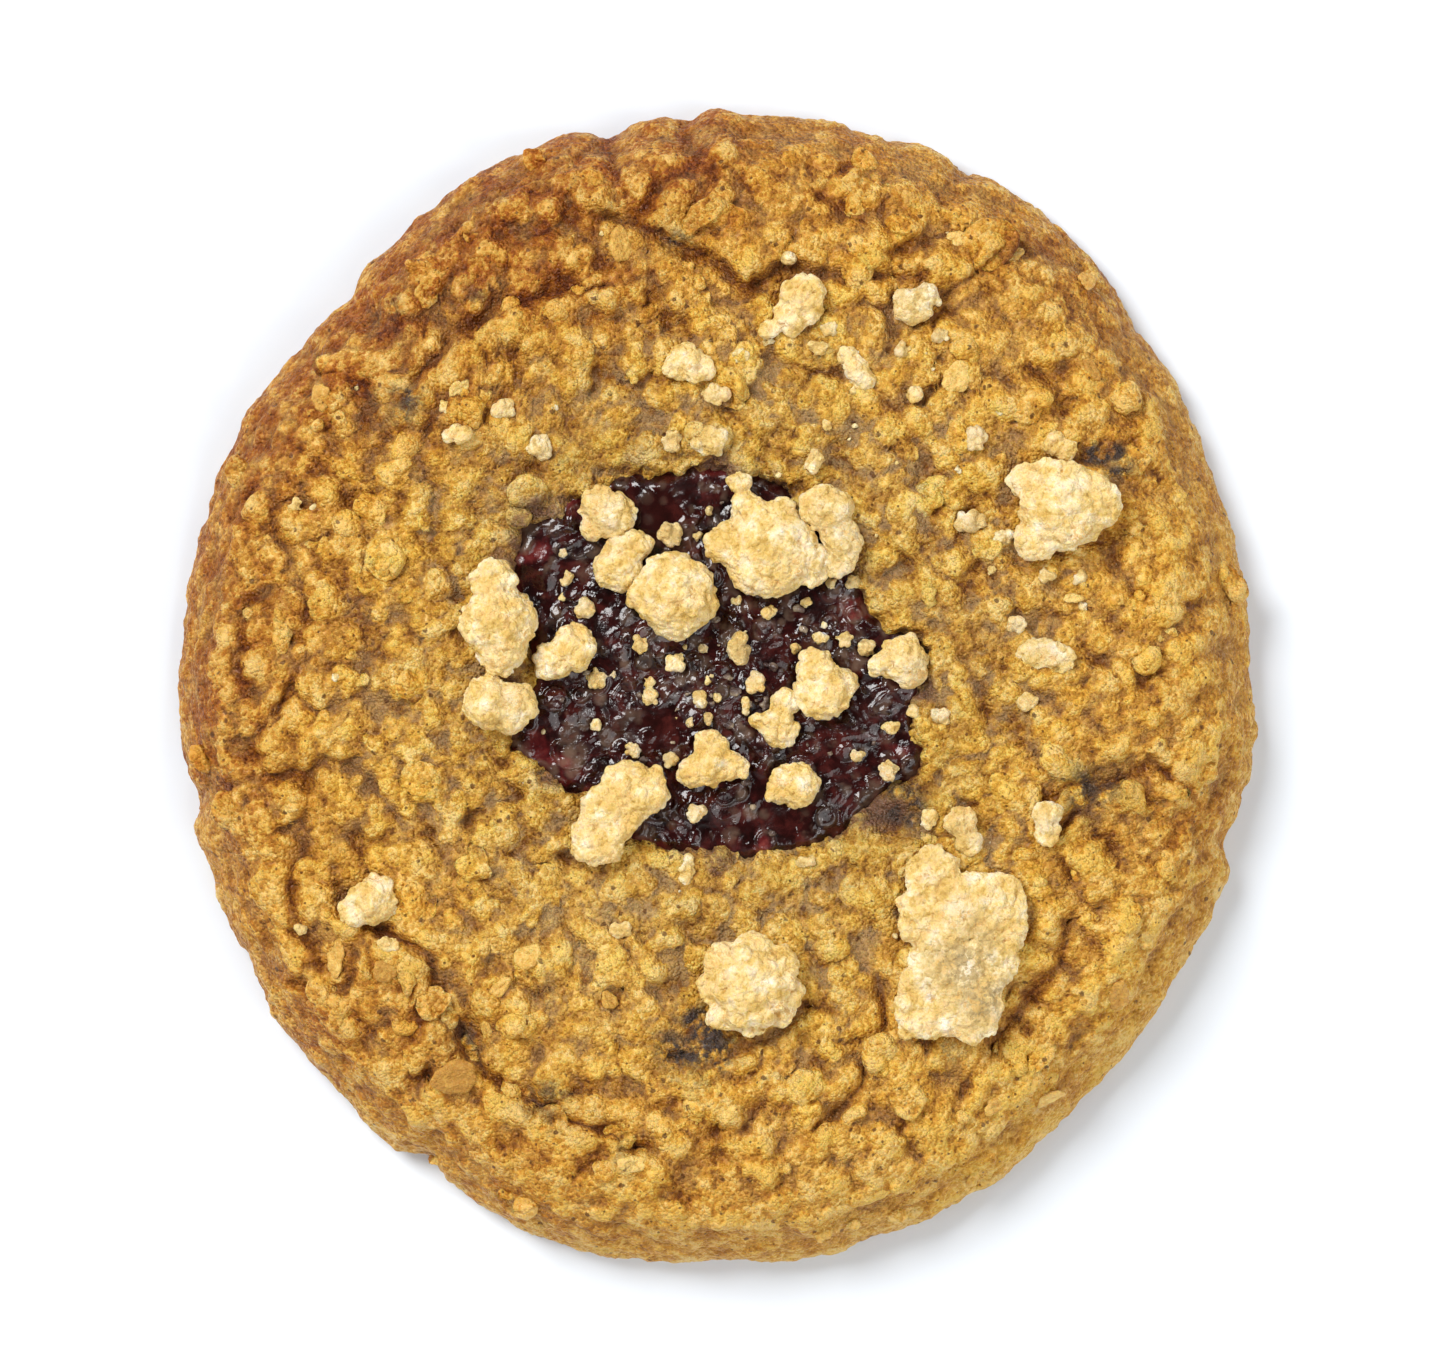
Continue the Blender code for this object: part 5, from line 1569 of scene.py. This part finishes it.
def add_light(name, azimuth, elevation, distance, size, power):
    """A soft round light that faces the cookie. Azimuth 0 is +X, counter-clockwise."""
    light = bpy.data.lights.new(name, "AREA")
    light.shape = "DISK"
    light.size = size
    light.energy = power
    lamp = bpy.data.objects.new(name, light)
    bpy.context.scene.collection.objects.link(lamp)
    turn, rise = math.radians(azimuth), math.radians(elevation)
    toward = Vector((math.cos(turn) * math.cos(rise), math.sin(turn) * math.cos(rise), math.sin(rise)))
    lamp.location = toward * distance
    lamp.rotation_mode = "QUATERNION"
    lamp.rotation_quaternion = toward.to_track_quat("Z", "Y")
    lamp.visible_camera = False


def add_world():
    """White surroundings that are brighter at the sides than above."""
    world = bpy.data.worlds.new("studio")
    bpy.context.scene.world = world
    world.use_nodes = True
    nodes, links = world.node_tree.nodes, world.node_tree.links
    place = nodes.new("ShaderNodeTexCoord")
    parts = nodes.new("ShaderNodeSeparateXYZ")
    shade = nodes.new("ShaderNodeValToRGB")
    for element, (height, brightness) in zip(shade.color_ramp.elements, SKY):
        element.position = height
        element.color = (brightness, brightness, brightness, 1)
    links.new(place.outputs["Generated"], parts.inputs[0])
    links.new(parts.outputs["Z"], shade.inputs[0])
    links.new(shade.outputs[0], nodes["Background"].inputs["Color"])


def add_camera():
    """Straight above the cookie, so far away that its sides hardly spread."""
    camera = bpy.data.cameras.new("camera")
    camera.sensor_width = SENSOR_WIDTH
    camera.lens = SENSOR_WIDTH * CAMERA_DISTANCE / (PHOTO_WIDTH / PIXELS_PER_MM * MM)
    camera.clip_start, camera.clip_end = CLIP_RANGE
    view = bpy.data.objects.new("camera", camera)
    bpy.context.scene.collection.objects.link(view)
    right = (PHOTO_WIDTH / 2 - COOKIE_PIXEL[0]) / PIXELS_PER_MM
    down = (PHOTO_HEIGHT / 2 - COOKIE_PIXEL[1]) / PIXELS_PER_MM
    view.location = (right * MM, -down * MM, CAMERA_DISTANCE + CAMERA_PLANE * MM)
    bpy.context.scene.camera = view


remove_startup_objects()
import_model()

baked, crumble = dough_material(), crumble_material()
add_piece("dough", dough_mesh(), baked, "dough", "cookie")
add_piece("jam_filling", jam_mesh(), jam_material(), "jam", "jam")
for number, (flatness, balls) in enumerate(LUMPS, 1):
    lump = lump_mesh(number, flatness, balls)
    add_piece(f"lump_{number:02d}", lump, crumble, "crumble", f"crumble_{number:02d}")
rng = np.random.default_rng(501)
dough_rows = list(DOUGH_CRUMBS) + scattered(DUST_ON_DOUGH, SMALLEST_ON_DOUGH, rng, False)
jam_rows = list(JAM_CRUMBS) + scattered(DUST_ON_JAM, SMALLEST_ON_JAM, rng, True)
add_piece("crumbs_on_dough", crumbs_mesh(dough_rows, 601, 0.5), crumble, "crumble")
add_piece("crumbs_on_jam", crumbs_mesh(jam_rows, 651, 0.7), crumble, "crumble")
add_piece("beads_in_jam", beads_mesh(BEAD_COUNT, 701), bead_material(), "jam")
add_piece("oat_clusters", nubs_mesh(), baked, "dough")
add_piece("oat_flakes", flakes_mesh(), flake_material(), "dough")

add_floor(floor_material())
for light in LIGHTS:
    add_light(*light)
add_world()
add_camera()
bpy.context.scene.view_settings.view_transform = "Standard"
